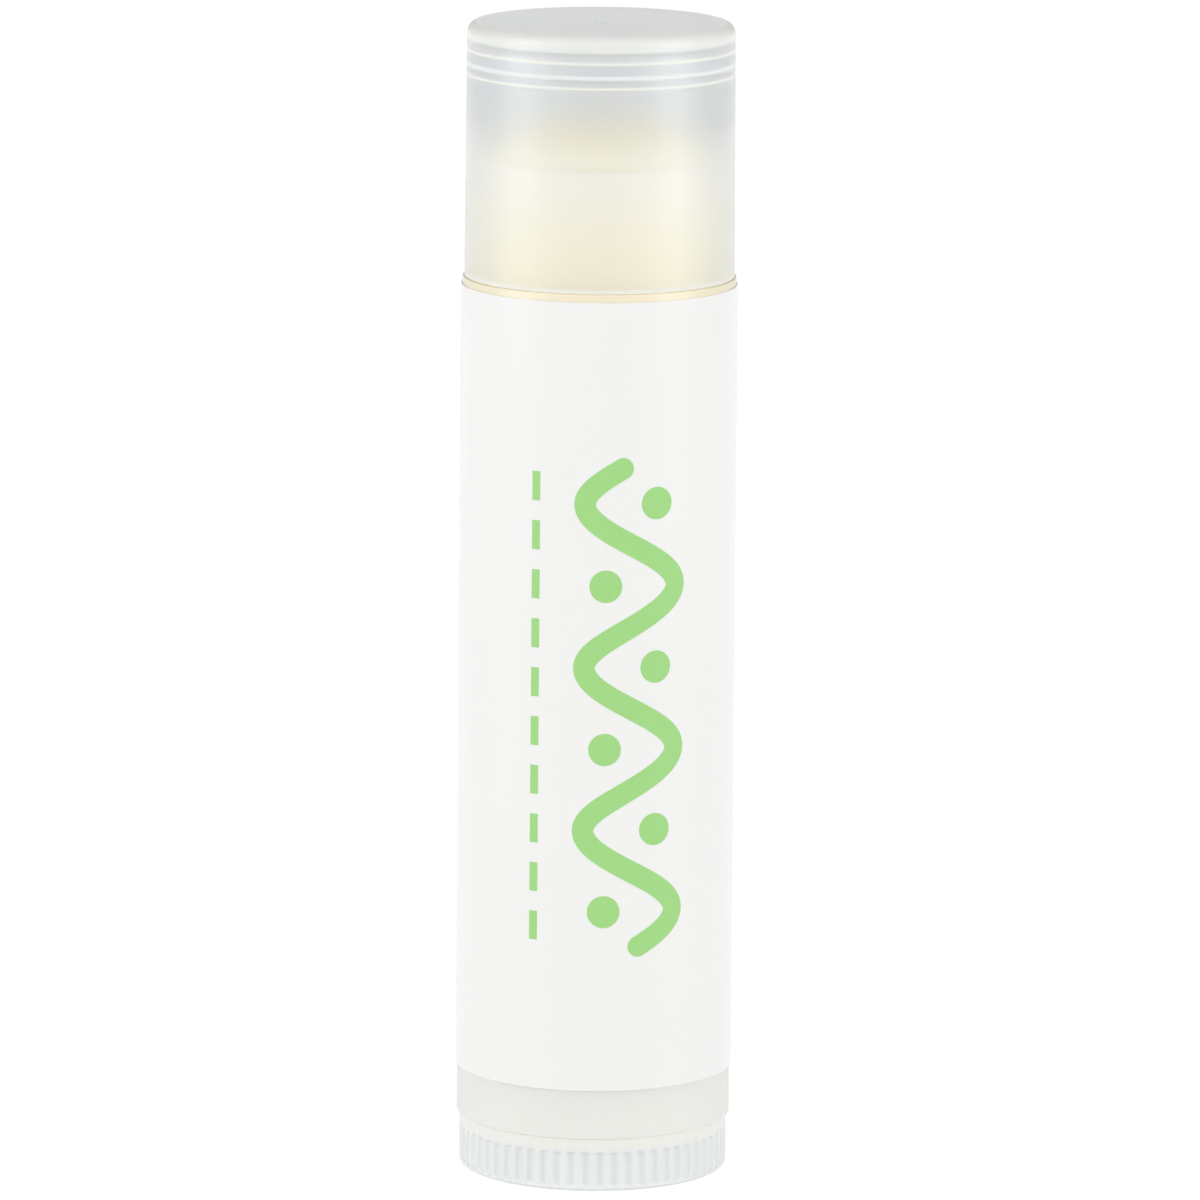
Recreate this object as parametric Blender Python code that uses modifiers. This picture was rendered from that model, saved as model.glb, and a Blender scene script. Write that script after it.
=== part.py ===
"""Lip balm stick: a twist-up tube of balm with a push-on cap.

A ribbed wheel at the foot carries a threaded spindle up the middle of the
barrel. The carrier, the cup that holds the foot of the balm, is a nut on that
spindle. Two guide ribs in the barrel keep the carrier from turning, so that a
turn of the wheel lifts the balm by one lead of the thread.

Lengths are metres, +Z is up, and the stick stands on its wheel at the origin.
Each piece is modelled from its own foot up and placed by its parent.
"""
import math

import bmesh
import bpy
from mathutils import Matrix, Vector

MM = 0.001

# Wheel at the foot, with its ribs
WHEEL_STEP = 0.17 * MM
WHEEL_HEIGHT = 3.1 * MM
WHEEL_EDGE_ROUND = 0.2 * MM
WHEEL_LIP = 0.3 * MM
WHEEL_BAND = 0.75 * MM
RIB_COUNT = 60
FLUTE_DEPTH = 0.16 * MM
FLUTE_ROUND = 0.34 * MM
FOOT_WIDTH = 1.4 * MM
FOOT_RECESS = 0.9 * MM
FOOT_BOSS_RADIUS = 2.2 * MM
FOOT_BOSS_RECESS = 0.35 * MM

# Collar that snaps the wheel into the barrel
COLLAR_HEIGHT = 3.6 * MM
COLLAR_WALL = 0.9 * MM
COLLAR_FIT = 0.15 * MM
COLLAR_LEAD_IN = 0.3 * MM
BEAD_HEIGHT = 0.25 * MM
BEAD_LENGTH = 0.9 * MM
BEAD_RISE = 1.9 * MM
BEAD_FIT = 0.15 * MM

# Spindle and its left-hand thread
THREAD_LEAD = 3.5 * MM
THREAD_DEPTH = 0.7 * MM
THREAD_BASE = 1.4 * MM
THREAD_CREST = 0.7 * MM
THREAD_FIT = 0.15 * MM
SPINDLE_RADIUS = 1.7 * MM
SPINDLE_TIP_RADIUS = 1.2 * MM
SPINDLE_BELOW_RIM = 3.2 * MM

# Barrel: its outside follows from the bore, the neck's wall and the cap's wall
BORE_RADIUS = 6.5 * MM
BORE_LEAD_IN = 0.35 * MM
NECK_WALL = 0.55 * MM
NECK_LENGTH = 6.95 * MM
NECK_ROUND = 0.18 * MM
BARREL_LENGTH = 49.45 * MM
BARREL_DRAFT = 0.07 * MM
BARREL_FOOT_ROUND = 0.2 * MM
SHOULDER_STEP = 0.105 * MM
SHOULDER_ROUND = 0.15 * MM

# Guide ribs in the bore
GUIDE_COUNT = 2
GUIDE_HEIGHT = 0.4 * MM
GUIDE_WIDTH = 0.7 * MM
GUIDE_BELOW_RIM = 1.5 * MM
GUIDE_FIT = 0.2 * MM

# Label film round the barrel
LABEL_RISE = 2.76 * MM
LABEL_BELOW_SHOULDER = 0.45 * MM
LABEL_THICKNESS = 0.07 * MM
LABEL_GLUE = 0.02 * MM
LABEL_LAP_FACETS = 4

# Carrier
CARRIER_FIT = 0.2 * MM
CARRIER_LENGTH = 7.0 * MM
CARRIER_FLOOR = 1.0 * MM
CARRIER_WALL = 0.8 * MM
CARRIER_EDGE_ROUND = 0.2 * MM
HUB_WALL = 0.95 * MM
HUB_LENGTH = 4.2 * MM
WEB_COUNT = 4
WEB_WIDTH = 0.7 * MM
WEB_HEIGHT = 2.2 * MM

# Balm, cast in the barrel
BALM_FIT = 0.25 * MM
BALM_STAND = 2.2 * MM
BALM_DOME = 2.2 * MM

# Cap
CAP_FIT = 0.15 * MM
CAP_WALL = 0.635 * MM
CAP_DRAFT = 0.085 * MM
CAP_BORE_DRAFT = 0.06 * MM
CAP_HEADROOM = 4.45 * MM
CAP_TOP_ROUND = 0.6 * MM
CAP_MOUTH_ROUND = 0.15 * MM
CAP_PLATE = 1.15 * MM
CAP_PLATE_ROUND = 0.45 * MM
CAP_RING_BELOW_PLATE = 1.3 * MM
CAP_RING_LENGTH = 0.95 * MM
CAP_RING_HEIGHT = 0.2 * MM

# Gap left between faces that seat on each other
SEAT_GAP = 0.2 * MM
# Reach of a cutter past the face that it cuts, and of a joined piece into its host
OVERRUN = 0.5 * MM

# Facets round a turned piece, one to each rib of the wheel, and on smaller rounds
ROUND_STEPS = RIB_COUNT
THREAD_STEPS = 20
FLUTE_STEPS = 10
CORNER_STEPS = 2
EDGE_STEPS = 5
DOME_STEPS = 7
MERGE_DISTANCE = 0.001 * MM
SHARP_ANGLE = math.radians(32)

# Outer radii, from the bore outwards: the neck, the cap over it, the barrel, the wheel
neck_radius = BORE_RADIUS + NECK_WALL
cap_bore_radius = neck_radius + CAP_FIT
cap_mouth_radius = cap_bore_radius + CAP_WALL
shoulder_radius = cap_mouth_radius + SHOULDER_STEP
barrel_foot_radius = shoulder_radius + BARREL_DRAFT
wheel_radius = barrel_foot_radius - WHEEL_STEP

# Heights, from the foot up, and radii inside the bore
barrel_z = WHEEL_HEIGHT + SEAT_GAP
rim_height = BARREL_LENGTH + NECK_LENGTH
rim_z = barrel_z + rim_height
collar_radius = BORE_RADIUS - COLLAR_FIT
collar_top_z = WHEEL_HEIGHT + COLLAR_HEIGHT
spindle_top_z = rim_z - SPINDLE_BELOW_RIM
carrier_z = collar_top_z + SEAT_GAP
carrier_radius = BORE_RADIUS - CARRIER_FIT
cup_radius = carrier_radius - CARRIER_WALL
thread_radius = SPINDLE_RADIUS + THREAD_DEPTH
hub_radius = thread_radius + THREAD_FIT + HUB_WALL
guide_radius = BORE_RADIUS - GUIDE_HEIGHT
guide_foot_z = collar_top_z + SEAT_GAP
guide_top_z = rim_z - GUIDE_BELOW_RIM


def linear(colour):
    """An sRGB hex colour as the linear colour that a shader takes."""
    channels = [int(colour[i:i + 2], 16) / 255 for i in (1, 3, 5)]
    return [c / 12.92 if c <= 0.04045 else ((c + 0.055) / 1.055) ** 2.4 for c in channels] + [1]


def plastic(name, colour, roughness, transmission=0.0):
    """A moulded or cast material with its colour, gloss and see-through share."""
    material = bpy.data.materials.new(name)
    material.use_nodes = True
    shader = material.node_tree.nodes["Principled BSDF"]
    shader.inputs["Base Color"].default_value = linear(colour)
    shader.inputs["Roughness"].default_value = roughness
    shader.inputs["Metallic"].default_value = 0.0
    shader.inputs["Transmission Weight"].default_value = transmission
    material.diffuse_color = linear(colour)
    return material


def softened(corners):
    """An outline through (radius, height) corners; a third value rounds that corner."""
    outline = []
    for i, corner in enumerate(corners):
        here = Vector(corner[:2])
        if len(corner) == 2:
            outline.append(here)
            continue
        radius, steps = corner[2], corner[3] if len(corner) == 4 else CORNER_STEPS
        before = (Vector(corners[i - 1][:2]) - here).normalized()
        after = (Vector(corners[(i + 1) % len(corners)][:2]) - here).normalized()
        half = before.angle(after) / 2
        centre = here + (before + after).normalized() * radius / math.sin(half)
        start = here + before * radius / math.tan(half) - centre
        end = here + after * radius / math.tan(half) - centre
        sweep = start.angle(end)
        for step in range(steps + 1):
            share = step / steps
            outline.append(centre + start * math.sin(sweep * (1 - share)) / math.sin(sweep)
                           + end * math.sin(sweep * share) / math.sin(sweep))
    return outline


def add_object(name, mesh, collection, parent, height):
    """A mesh as an object on the stick's axis, at a height above its parent's foot."""
    part = bpy.data.objects.new(name, mesh)
    collection.objects.link(part)
    part.parent = parent
    part.location.z = height
    return part


def turned(name, outline, collection, parent=None, height=0, steps=ROUND_STEPS):
    """A turned piece: the outline, from the top down its outer side, taken round the axis."""
    shape = bmesh.new()
    points = [shape.verts.new((radius, 0, z)) for radius, z in outline]
    for first, second in zip(points, points[1:]):
        shape.edges.new((first, second))
    if outline[0][0] > 0:
        shape.edges.new((points[-1], points[0]))
    part = add_object(name, mesh_from(name, shape), collection, parent, height)
    turn = part.modifiers.new("turn", "SCREW")
    turn.steps = turn.render_steps = steps
    turn.use_merge_vertices = True
    turn.merge_threshold = MERGE_DISTANCE
    return part


def mesh_from(name, shape):
    """The finished mesh of a bmesh, which is freed."""
    mesh = bpy.data.meshes.new(name)
    shape.to_mesh(mesh)
    shape.free()
    return mesh


def tool(name, shape, host):
    """A cutter, or a piece to be joined, in its host's own frame."""
    part = add_object(name, mesh_from(name, shape), cutters, host, 0)
    return hidden(part)


def hidden(part):
    """Mark an object as one that only shapes others."""
    part.hide_render = True
    part.display_type = "WIRE"
    return part


def combine(host, other, operation):
    """Cut, join or meet the host with another closed shape."""
    modifier = host.modifiers.new(other.name, "BOOLEAN")
    modifier.operation = operation
    modifier.solver = "EXACT"
    modifier.object = other


def add_block(shape, low, high, turn=0):
    """A box between two corners, turned about the axis."""
    low, high = Vector(low), Vector(high)
    place = Matrix.Translation((low + high) / 2) @ Matrix.Diagonal((*(high - low), 1))
    bmesh.ops.create_cube(shape, size=1, matrix=Matrix.Rotation(turn, 4, "Z") @ place)


def radial_blocks(count, first_turn, inner, outer, width, foot, top):
    """Equal boxes round the axis, each reaching from an inner to an outer radius."""
    shape = bmesh.new()
    for i in range(count):
        turn = first_turn + i * math.tau / count
        add_block(shape, (inner, -width / 2, foot), (outer, width / 2, top), turn)
    return shape


def evaluated_mesh(part):
    """The object's mesh with all its modifiers carried out."""
    return bpy.data.meshes.new_from_object(part.evaluated_get(bpy.context.evaluated_depsgraph_get()))


def thread(name, foot, top, host, datum=0, fit=0):
    """A threaded rod from foot to top, grown by a fit for a nut's cutter.

    The datum is the height of the spindle's foot in the host's frame, so that
    the screw and its nut lie in mesh.
    """
    core, crest = SPINDLE_RADIUS + fit, thread_radius + fit
    flank = (THREAD_BASE - THREAD_CREST) / 2
    turns_up = math.ceil((top - datum) / THREAD_LEAD) + 1
    turns_down = math.floor((foot - datum) / THREAD_LEAD) - 1
    start = datum + turns_up * THREAD_LEAD + fit
    base_end = start - THREAD_BASE - 2 * fit
    tooth = [(core, start), (crest, start - flank), (crest, base_end + flank), (core, base_end),
             (core, start - THREAD_LEAD)]
    shape = bmesh.new()
    points = [shape.verts.new((radius, 0, z)) for radius, z in tooth]
    for first, second in zip(points, points[1:]):
        shape.edges.new((first, second))
    helix = add_object(name, mesh_from(name, shape), cutters, host, 0)
    sweep = helix.modifiers.new("thread", "SCREW")
    sweep.steps = sweep.render_steps = THREAD_STEPS
    sweep.screw_offset = -THREAD_LEAD
    sweep.iterations = turns_up - turns_down
    rod = bmesh.new()
    rod.from_mesh(evaluated_mesh(helix))
    helix.modifiers.clear()
    bmesh.ops.remove_doubles(rod, verts=rod.verts, dist=MERGE_DISTANCE)
    for height, side in ((top, 1), (foot, -1)):
        everything = rod.verts[:] + rod.edges[:] + rod.faces[:]
        bmesh.ops.bisect_plane(rod, geom=everything, plane_co=(0, 0, height), plane_no=(0, 0, side),
                               clear_outer=True)
    bmesh.ops.holes_fill(rod, edges=[edge for edge in rod.edges if edge.is_boundary])
    bmesh.ops.recalc_face_normals(rod, faces=rod.faces)
    helix.data = mesh_from(name, rod)
    return hidden(helix)


def settle(part, material):
    """Carry out a piece's modifiers and shade its round sides smooth."""
    mesh = evaluated_mesh(part)
    part.modifiers.clear()
    part.data = mesh
    mesh.name = part.name
    mesh.materials.clear()
    mesh.materials.append(material)
    mesh.shade_smooth()
    mesh.set_sharp_from_angle(angle=SHARP_ANGLE)


def barrel_radius(height):
    """The barrel's drafted outside at a height above its foot."""
    return barrel_foot_radius - BARREL_DRAFT * height / BARREL_LENGTH


def make_barrel():
    """Straight bore, shoulder and neck, snap groove at the foot, guide ribs in the bore."""
    groove_radius = collar_radius + BEAD_HEIGHT + BEAD_FIT
    groove_half = BEAD_LENGTH / 2 + BEAD_FIT
    groove_z = BEAD_RISE - SEAT_GAP
    slope = groove_radius - BORE_RADIUS
    barrel = turned("barrel", softened([
        (BORE_RADIUS, rim_height, NECK_ROUND),
        (neck_radius, rim_height, NECK_ROUND),
        (neck_radius, BARREL_LENGTH),
        (shoulder_radius, BARREL_LENGTH, SHOULDER_ROUND),
        (barrel_foot_radius, 0, BARREL_FOOT_ROUND),
        (BORE_RADIUS + BORE_LEAD_IN, 0),
        (BORE_RADIUS, BORE_LEAD_IN),
        (BORE_RADIUS, groove_z - groove_half),
        (groove_radius, groove_z - groove_half + slope),
        (groove_radius, groove_z + groove_half - slope),
        (BORE_RADIUS, groove_z + groove_half),
    ]), parts, height=barrel_z)
    guides = radial_blocks(GUIDE_COUNT, 0, guide_radius, BORE_RADIUS + NECK_WALL / 2, GUIDE_WIDTH,
                           guide_foot_z - barrel_z, guide_top_z - barrel_z)
    combine(barrel, tool("guide_ribs", guides, barrel), "UNION")
    return barrel


def make_label(barrel):
    """Film wrapped round the barrel, one more layer thick where it laps at the back."""
    top_height = BARREL_LENGTH - LABEL_BELOW_SHOULDER
    length = top_height - LABEL_RISE
    foot = barrel_radius(LABEL_RISE) + LABEL_GLUE
    top = barrel_radius(top_height) + LABEL_GLUE
    label = turned("label", [
        (top, length),
        (top + LABEL_THICKNESS, length),
        (foot + LABEL_THICKNESS, 0),
        (foot, 0),
    ], parts, barrel, LABEL_RISE)
    film = bmesh.new()
    film.from_mesh(evaluated_mesh(label))
    label.modifiers.clear()
    lap_turn = LABEL_LAP_FACETS * math.tau / ROUND_STEPS
    lap = []
    for face in film.faces:
        middle = face.calc_center_median()
        from_back = Vector((0, 1)).angle(middle.xy)
        if face.normal.xy.dot(middle.xy) > 0 and abs(face.normal.z) < 0.5 and from_back < lap_turn / 2:
            lap.append(face)
    raised = bmesh.ops.extrude_face_region(film, geom=lap)["geom"]
    for vert in (piece for piece in raised if isinstance(piece, bmesh.types.BMVert)):
        vert.co.xy += vert.co.xy.normalized() * LABEL_THICKNESS
    bmesh.ops.delete(film, geom=lap, context="FACES")
    label.data = mesh_from("label", film)
    return label


def make_twist_wheel(barrel):
    """Ribbed wheel, snap collar and threaded spindle, moulded as one."""
    bead_z = WHEEL_HEIGHT + BEAD_RISE
    bead_half = BEAD_LENGTH / 2
    foot_inner = wheel_radius - FOOT_WIDTH
    wheel = turned("twist_wheel", softened([
        (0, WHEEL_HEIGHT),
        (collar_radius - COLLAR_WALL, WHEEL_HEIGHT),
        (collar_radius - COLLAR_WALL, collar_top_z),
        (collar_radius - COLLAR_LEAD_IN, collar_top_z),
        (collar_radius, collar_top_z - COLLAR_LEAD_IN),
        (collar_radius, bead_z + bead_half),
        (collar_radius + BEAD_HEIGHT, bead_z + bead_half - BEAD_HEIGHT),
        (collar_radius + BEAD_HEIGHT, bead_z - bead_half + BEAD_HEIGHT),
        (collar_radius, bead_z - bead_half),
        (collar_radius, WHEEL_HEIGHT),
        (wheel_radius, WHEEL_HEIGHT, WHEEL_EDGE_ROUND / 2),
        (wheel_radius, 0, WHEEL_EDGE_ROUND),
        (foot_inner, 0),
        (foot_inner, FOOT_RECESS),
        (FOOT_BOSS_RADIUS, FOOT_RECESS),
        (FOOT_BOSS_RADIUS, FOOT_BOSS_RECESS),
        (0, FOOT_BOSS_RECESS),
    ]), parts, barrel, -barrel_z)

    spindle = thread("spindle", WHEEL_HEIGHT - OVERRUN, spindle_top_z, wheel)
    chamfer = thread_radius - SPINDLE_TIP_RADIUS
    tip = hidden(turned("spindle_tip_chamfer", [
        (SPINDLE_TIP_RADIUS - OVERRUN, spindle_top_z + OVERRUN),
        (thread_radius + OVERRUN, spindle_top_z + OVERRUN),
        (thread_radius + OVERRUN, spindle_top_z - chamfer - OVERRUN),
    ], cutters, wheel, steps=THREAD_STEPS))
    combine(wheel, spindle, "UNION")
    combine(wheel, tip, "DIFFERENCE")

    flutes = bmesh.new()
    flute_length = WHEEL_HEIGHT - WHEEL_BAND - WHEEL_LIP
    reach = wheel_radius - FLUTE_DEPTH + FLUTE_ROUND
    for i in range(RIB_COUNT):
        turn = Matrix.Rotation((i + 0.5) * math.tau / RIB_COUNT, 4, "Z")
        place = turn @ Matrix.Translation((reach, 0, WHEEL_LIP + flute_length / 2))
        bmesh.ops.create_cone(flutes, cap_ends=True, segments=FLUTE_STEPS, radius1=FLUTE_ROUND,
                              radius2=FLUTE_ROUND, depth=flute_length, matrix=place)
    combine(wheel, tool("flutes", flutes, wheel), "DIFFERENCE")
    return wheel


def make_carrier(barrel):
    """Cup with a threaded hub, webs that grip the balm, and a notch for each guide rib."""
    carrier = turned("carrier", softened([
        (0, HUB_LENGTH),
        (hub_radius, HUB_LENGTH),
        (hub_radius, CARRIER_FLOOR),
        (cup_radius, CARRIER_FLOOR),
        (cup_radius, CARRIER_LENGTH),
        (carrier_radius, CARRIER_LENGTH, CARRIER_EDGE_ROUND),
        (carrier_radius, 0, CARRIER_EDGE_ROUND),
        (0, 0),
    ]), parts, barrel, carrier_z - barrel_z)
    web_turn = math.tau / WEB_COUNT / 2
    webs = radial_blocks(WEB_COUNT, web_turn, hub_radius - HUB_WALL / 2, cup_radius + CARRIER_WALL / 2,
                         WEB_WIDTH, CARRIER_FLOOR / 2, CARRIER_FLOOR + WEB_HEIGHT)
    combine(carrier, tool("webs", webs, carrier), "UNION")
    notches = radial_blocks(GUIDE_COUNT, 0, guide_radius - GUIDE_FIT, carrier_radius + OVERRUN,
                            GUIDE_WIDTH + 2 * GUIDE_FIT, -OVERRUN, CARRIER_LENGTH + OVERRUN)
    combine(carrier, tool("guide_notches", notches, carrier), "DIFFERENCE")
    nut = thread("nut_thread", -OVERRUN, HUB_LENGTH + OVERRUN, carrier, -carrier_z, THREAD_FIT)
    combine(carrier, nut, "DIFFERENCE")
    return carrier


def make_balm(carrier):
    """Stick of balm with a domed top, cast over the carrier and round the spindle."""
    radius = BORE_RADIUS - BALM_FIT
    foot = CARRIER_FLOOR + SEAT_GAP
    top = rim_z + BALM_STAND - carrier_z
    dome = []
    for step in range(DOME_STEPS + 1):
        turn = step / DOME_STEPS * math.pi / 2
        dome.append((radius * math.sin(turn), top - BALM_DOME * (1 - math.cos(turn))))
    balm = turned("balm", dome + [
        (radius, CARRIER_LENGTH + SEAT_GAP),
        (cup_radius - BALM_FIT, CARRIER_LENGTH + SEAT_GAP),
        (cup_radius - BALM_FIT, foot),
        (hub_radius + BALM_FIT, foot),
        (hub_radius + BALM_FIT, HUB_LENGTH + SEAT_GAP),
        (thread_radius + BALM_FIT, HUB_LENGTH + SEAT_GAP),
        (thread_radius + BALM_FIT, spindle_top_z + SEAT_GAP - carrier_z),
        (0, spindle_top_z + SEAT_GAP - carrier_z),
    ], parts, carrier)
    web_turn = math.tau / WEB_COUNT / 2
    slots = radial_blocks(WEB_COUNT, web_turn, hub_radius, cup_radius, WEB_WIDTH + 2 * BALM_FIT,
                          foot - OVERRUN, CARRIER_FLOOR + WEB_HEIGHT + SEAT_GAP)
    combine(balm, tool("web_slots", slots, balm), "DIFFERENCE")
    grooves = radial_blocks(GUIDE_COUNT, 0, guide_radius - GUIDE_FIT, BORE_RADIUS + OVERRUN,
                            GUIDE_WIDTH + 2 * GUIDE_FIT, foot - OVERRUN,
                            guide_top_z + GUIDE_FIT - carrier_z)
    combine(balm, tool("guide_grooves", grooves, balm), "DIFFERENCE")
    return balm


def make_cap(carrier):
    """Translucent over-cap with a low ring inside, near its top plate."""
    plate_height = NECK_LENGTH - SEAT_GAP + BALM_STAND + CAP_HEADROOM
    length = plate_height + CAP_PLATE
    bore_top = cap_bore_radius - CAP_BORE_DRAFT
    ring_top = plate_height - CAP_RING_BELOW_PLATE
    ring_foot = ring_top - CAP_RING_LENGTH
    mouth_z = barrel_z + BARREL_LENGTH + SEAT_GAP
    return turned("cap", softened([
        (0, length),
        (cap_mouth_radius - CAP_DRAFT, length, CAP_TOP_ROUND, EDGE_STEPS),
        (cap_mouth_radius, 0, CAP_MOUTH_ROUND),
        (cap_bore_radius, 0, CAP_MOUTH_ROUND),
        (bore_top, ring_foot),
        (bore_top - CAP_RING_HEIGHT, ring_foot + CAP_RING_HEIGHT),
        (bore_top - CAP_RING_HEIGHT, ring_top - CAP_RING_HEIGHT),
        (bore_top, ring_top),
        (bore_top, plate_height, CAP_PLATE_ROUND),
        (0, plate_height),
    ]), parts, carrier, mouth_z - carrier_z)


for old in list(bpy.data.objects):
    bpy.data.objects.remove(old)
parts = bpy.data.collections.new("lip_balm_stick")
cutters = bpy.data.collections.new("cutters")
for collection in (parts, cutters):
    bpy.context.scene.collection.children.link(collection)

barrel_piece = make_barrel()
label_piece = make_label(barrel_piece)
wheel_piece = make_twist_wheel(barrel_piece)
carrier_piece = make_carrier(barrel_piece)
balm_piece = make_balm(carrier_piece)
cap_piece = make_cap(carrier_piece)

settle(barrel_piece, plastic("natural_polypropylene_barrel", "#ECEBE2", 0.3, 0.25))
settle(label_piece, plastic("white_film_label", "#F4F4F3", 0.22))
settle(wheel_piece, plastic("white_polypropylene_wheel", "#E9EAEA", 0.35))
settle(carrier_piece, plastic("white_polypropylene_carrier", "#EDEDE9", 0.4))
settle(balm_piece, plastic("cream_balm", "#F2EBCF", 0.45))
settle(cap_piece, plastic("natural_polypropylene_cap", "#DFE2E1", 0.25, 0.7))
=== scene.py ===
import math

import bmesh
import bpy
from mathutils import Matrix, Quaternion, Vector


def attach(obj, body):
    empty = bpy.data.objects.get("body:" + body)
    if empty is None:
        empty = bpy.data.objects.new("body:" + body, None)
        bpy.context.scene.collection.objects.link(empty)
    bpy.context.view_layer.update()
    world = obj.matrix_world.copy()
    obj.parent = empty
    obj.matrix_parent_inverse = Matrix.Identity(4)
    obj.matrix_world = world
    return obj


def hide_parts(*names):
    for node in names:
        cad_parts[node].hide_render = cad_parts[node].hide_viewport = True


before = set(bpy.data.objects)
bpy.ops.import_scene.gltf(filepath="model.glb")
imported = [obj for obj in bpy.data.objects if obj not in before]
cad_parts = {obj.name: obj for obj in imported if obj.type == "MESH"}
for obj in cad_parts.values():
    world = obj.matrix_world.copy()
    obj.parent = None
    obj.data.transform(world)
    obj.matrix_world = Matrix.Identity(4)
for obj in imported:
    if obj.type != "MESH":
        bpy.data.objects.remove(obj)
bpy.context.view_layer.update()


# Barrel: a straight tube with a thinner neck for the cap and two guide ribs in its bore.
# Natural polypropylene, injection moulded: milky and a little see-through. The balm's cream
# glow in the neck and the shoulder is painted into the plastic's colour.
MM = 0.001
BORE_RADIUS = 6.5 * MM
BORE_LEAD_IN = 0.35 * MM
NECK_RADIUS = 7.05 * MM
NECK_RIM_ROUND = 0.18 * MM
SHOULDER_RADIUS = 7.94 * MM
SHOULDER_ROUND = 0.06 * MM
BARREL_FOOT_RADIUS = 8.01 * MM
BARREL_FOOT_ROUND = 0.08 * MM
BARREL_FOOT_Z = 3.13 * MM
SHOULDER_Z = 52.75 * MM
RIM_Z = 59.7 * MM
BARREL_DRAFT = (BARREL_FOOT_RADIUS - SHOULDER_RADIUS) / (SHOULDER_Z - BARREL_FOOT_Z)
SNAP_GROOVE_Z = 5.0 * MM
SNAP_GROOVE_HALF = 0.6 * MM
SNAP_GROOVE_DEPTH = 0.25 * MM
GUIDE_HEIGHT = 0.4 * MM
GUIDE_WIDTH = 0.7 * MM
GUIDE_ROOT = 0.27 * MM
GUIDE_FOOT_Z = 6.9 * MM
GUIDE_TOP_Z = 58.2 * MM
GUIDE_TURNS = (0, math.pi)
ROUND_STEPS = 240
MERGE_DISTANCE = 0.001 * MM
SHARP_ANGLE = math.radians(35)


def linear(colour):
    """An sRGB hex colour as the linear colour that a shader takes."""
    channels = [int(colour[i:i + 2], 16) / 255 for i in (1, 3, 5)]
    return [c / 12.92 if c <= 0.04045 else ((c + 0.055) / 1.055) ** 2.4 for c in channels] + [1]


def softened(corners, steps=4):
    """An outline through (radius, height) corners; a third value rounds that corner."""
    outline = []
    for i, corner in enumerate(corners):
        here = Vector(corner[:2])
        if len(corner) == 2:
            outline.append(here)
            continue
        before = (Vector(corners[i - 1][:2]) - here).normalized()
        after = (Vector(corners[(i + 1) % len(corners)][:2]) - here).normalized()
        half = before.angle(after) / 2
        centre = here + (before + after).normalized() * corner[2] / math.sin(half)
        start = here + before * corner[2] / math.tan(half) - centre
        end = here + after * corner[2] / math.tan(half) - centre
        sweep = start.angle(end)
        for step in range(steps + 1):
            share = step / steps
            outline.append(centre + (start * math.sin(sweep * (1 - share))
                                     + end * math.sin(sweep * share)) / math.sin(sweep))
    return outline


def add_object(name, shape):
    """A bmesh as an object at the origin, with its faces outward and its doubles merged."""
    bmesh.ops.remove_doubles(shape, verts=shape.verts, dist=MERGE_DISTANCE)
    bmesh.ops.recalc_face_normals(shape, faces=shape.faces)
    mesh = bpy.data.meshes.new(name)
    shape.to_mesh(mesh)
    shape.free()
    piece = bpy.data.objects.new(name, mesh)
    bpy.context.scene.collection.objects.link(piece)
    return piece


def turned(name, outline, steps=ROUND_STEPS):
    """A turned piece: the closed outline of (radius, height) points taken round the axis."""
    shape = bmesh.new()
    rings = []
    for radius, height in outline:
        if radius < MERGE_DISTANCE:
            rings.append([shape.verts.new((0, 0, height))] * steps)
            continue
        turns = (i * math.tau / steps for i in range(steps))
        rings.append([shape.verts.new((radius * math.cos(turn), radius * math.sin(turn), height))
                      for turn in turns])
    for near, far in zip(rings, rings[1:] + rings[:1]):
        for i in range(steps):
            j = (i + 1) % steps
            corners = list(dict.fromkeys((near[i], near[j], far[j], far[i])))
            if len(corners) > 2:
                shape.faces.new(corners)
    return add_object(name, shape)


def add_block(shape, low, high, turn=0):
    """A box between two corners, turned about the axis."""
    low, high = Vector(low), Vector(high)
    place = Matrix.Translation((low + high) / 2) @ Matrix.Diagonal((*(high - low), 1))
    bmesh.ops.create_cube(shape, size=1, matrix=Matrix.Rotation(turn, 4, "Z") @ place)


def combine(host, other, operation):
    """Cut or join the host with another closed piece, which is used up."""
    modifier = host.modifiers.new(other.name, "BOOLEAN")
    modifier.operation, modifier.solver, modifier.object = operation, "EXACT", other
    carry_out(host)
    bpy.data.objects.remove(other)


def carry_out(piece):
    """Turn the piece's modifiers into its plain mesh."""
    bpy.context.view_layer.update()
    shown = piece.evaluated_get(bpy.context.evaluated_depsgraph_get())
    mesh = bpy.data.meshes.new_from_object(shown)
    piece.modifiers.clear()
    piece.data = mesh


def add_node(tree, kind, sockets=None, **settings):
    """A node with its settings; a socket takes a value, an output or a node's first output."""
    node = tree.nodes.new(kind)
    for name, value in settings.items():
        setattr(node, name, value)
    for socket, value in (sockets or {}).items():
        if isinstance(value, bpy.types.Node):
            value = value.outputs[0]
        if isinstance(value, bpy.types.NodeSocket):
            tree.links.new(value, node.inputs[socket])
        else:
            node.inputs[socket].default_value = value
    return node


def new_material(name):
    """An empty node material, with its tree and the place on the piece that it is read at."""
    material = bpy.data.materials.new(name)
    material.use_nodes = True
    material.node_tree.nodes.clear()
    place = add_node(material.node_tree, "ShaderNodeTexCoord").outputs["Object"]
    return material, material.node_tree, place


def drifting_colour(tree, place, size, colour, other_colour, detail):
    """A colour that drifts between two shades, in soft patches of a size."""
    patches = add_node(tree, "ShaderNodeTexNoise", {"Vector": place, "Scale": 1 / size, "Detail": detail})
    return add_node(tree, "ShaderNodeMix", {
        0: patches, 6: linear(colour), 7: linear(other_colour)}, data_type="RGBA").outputs[2]


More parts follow.
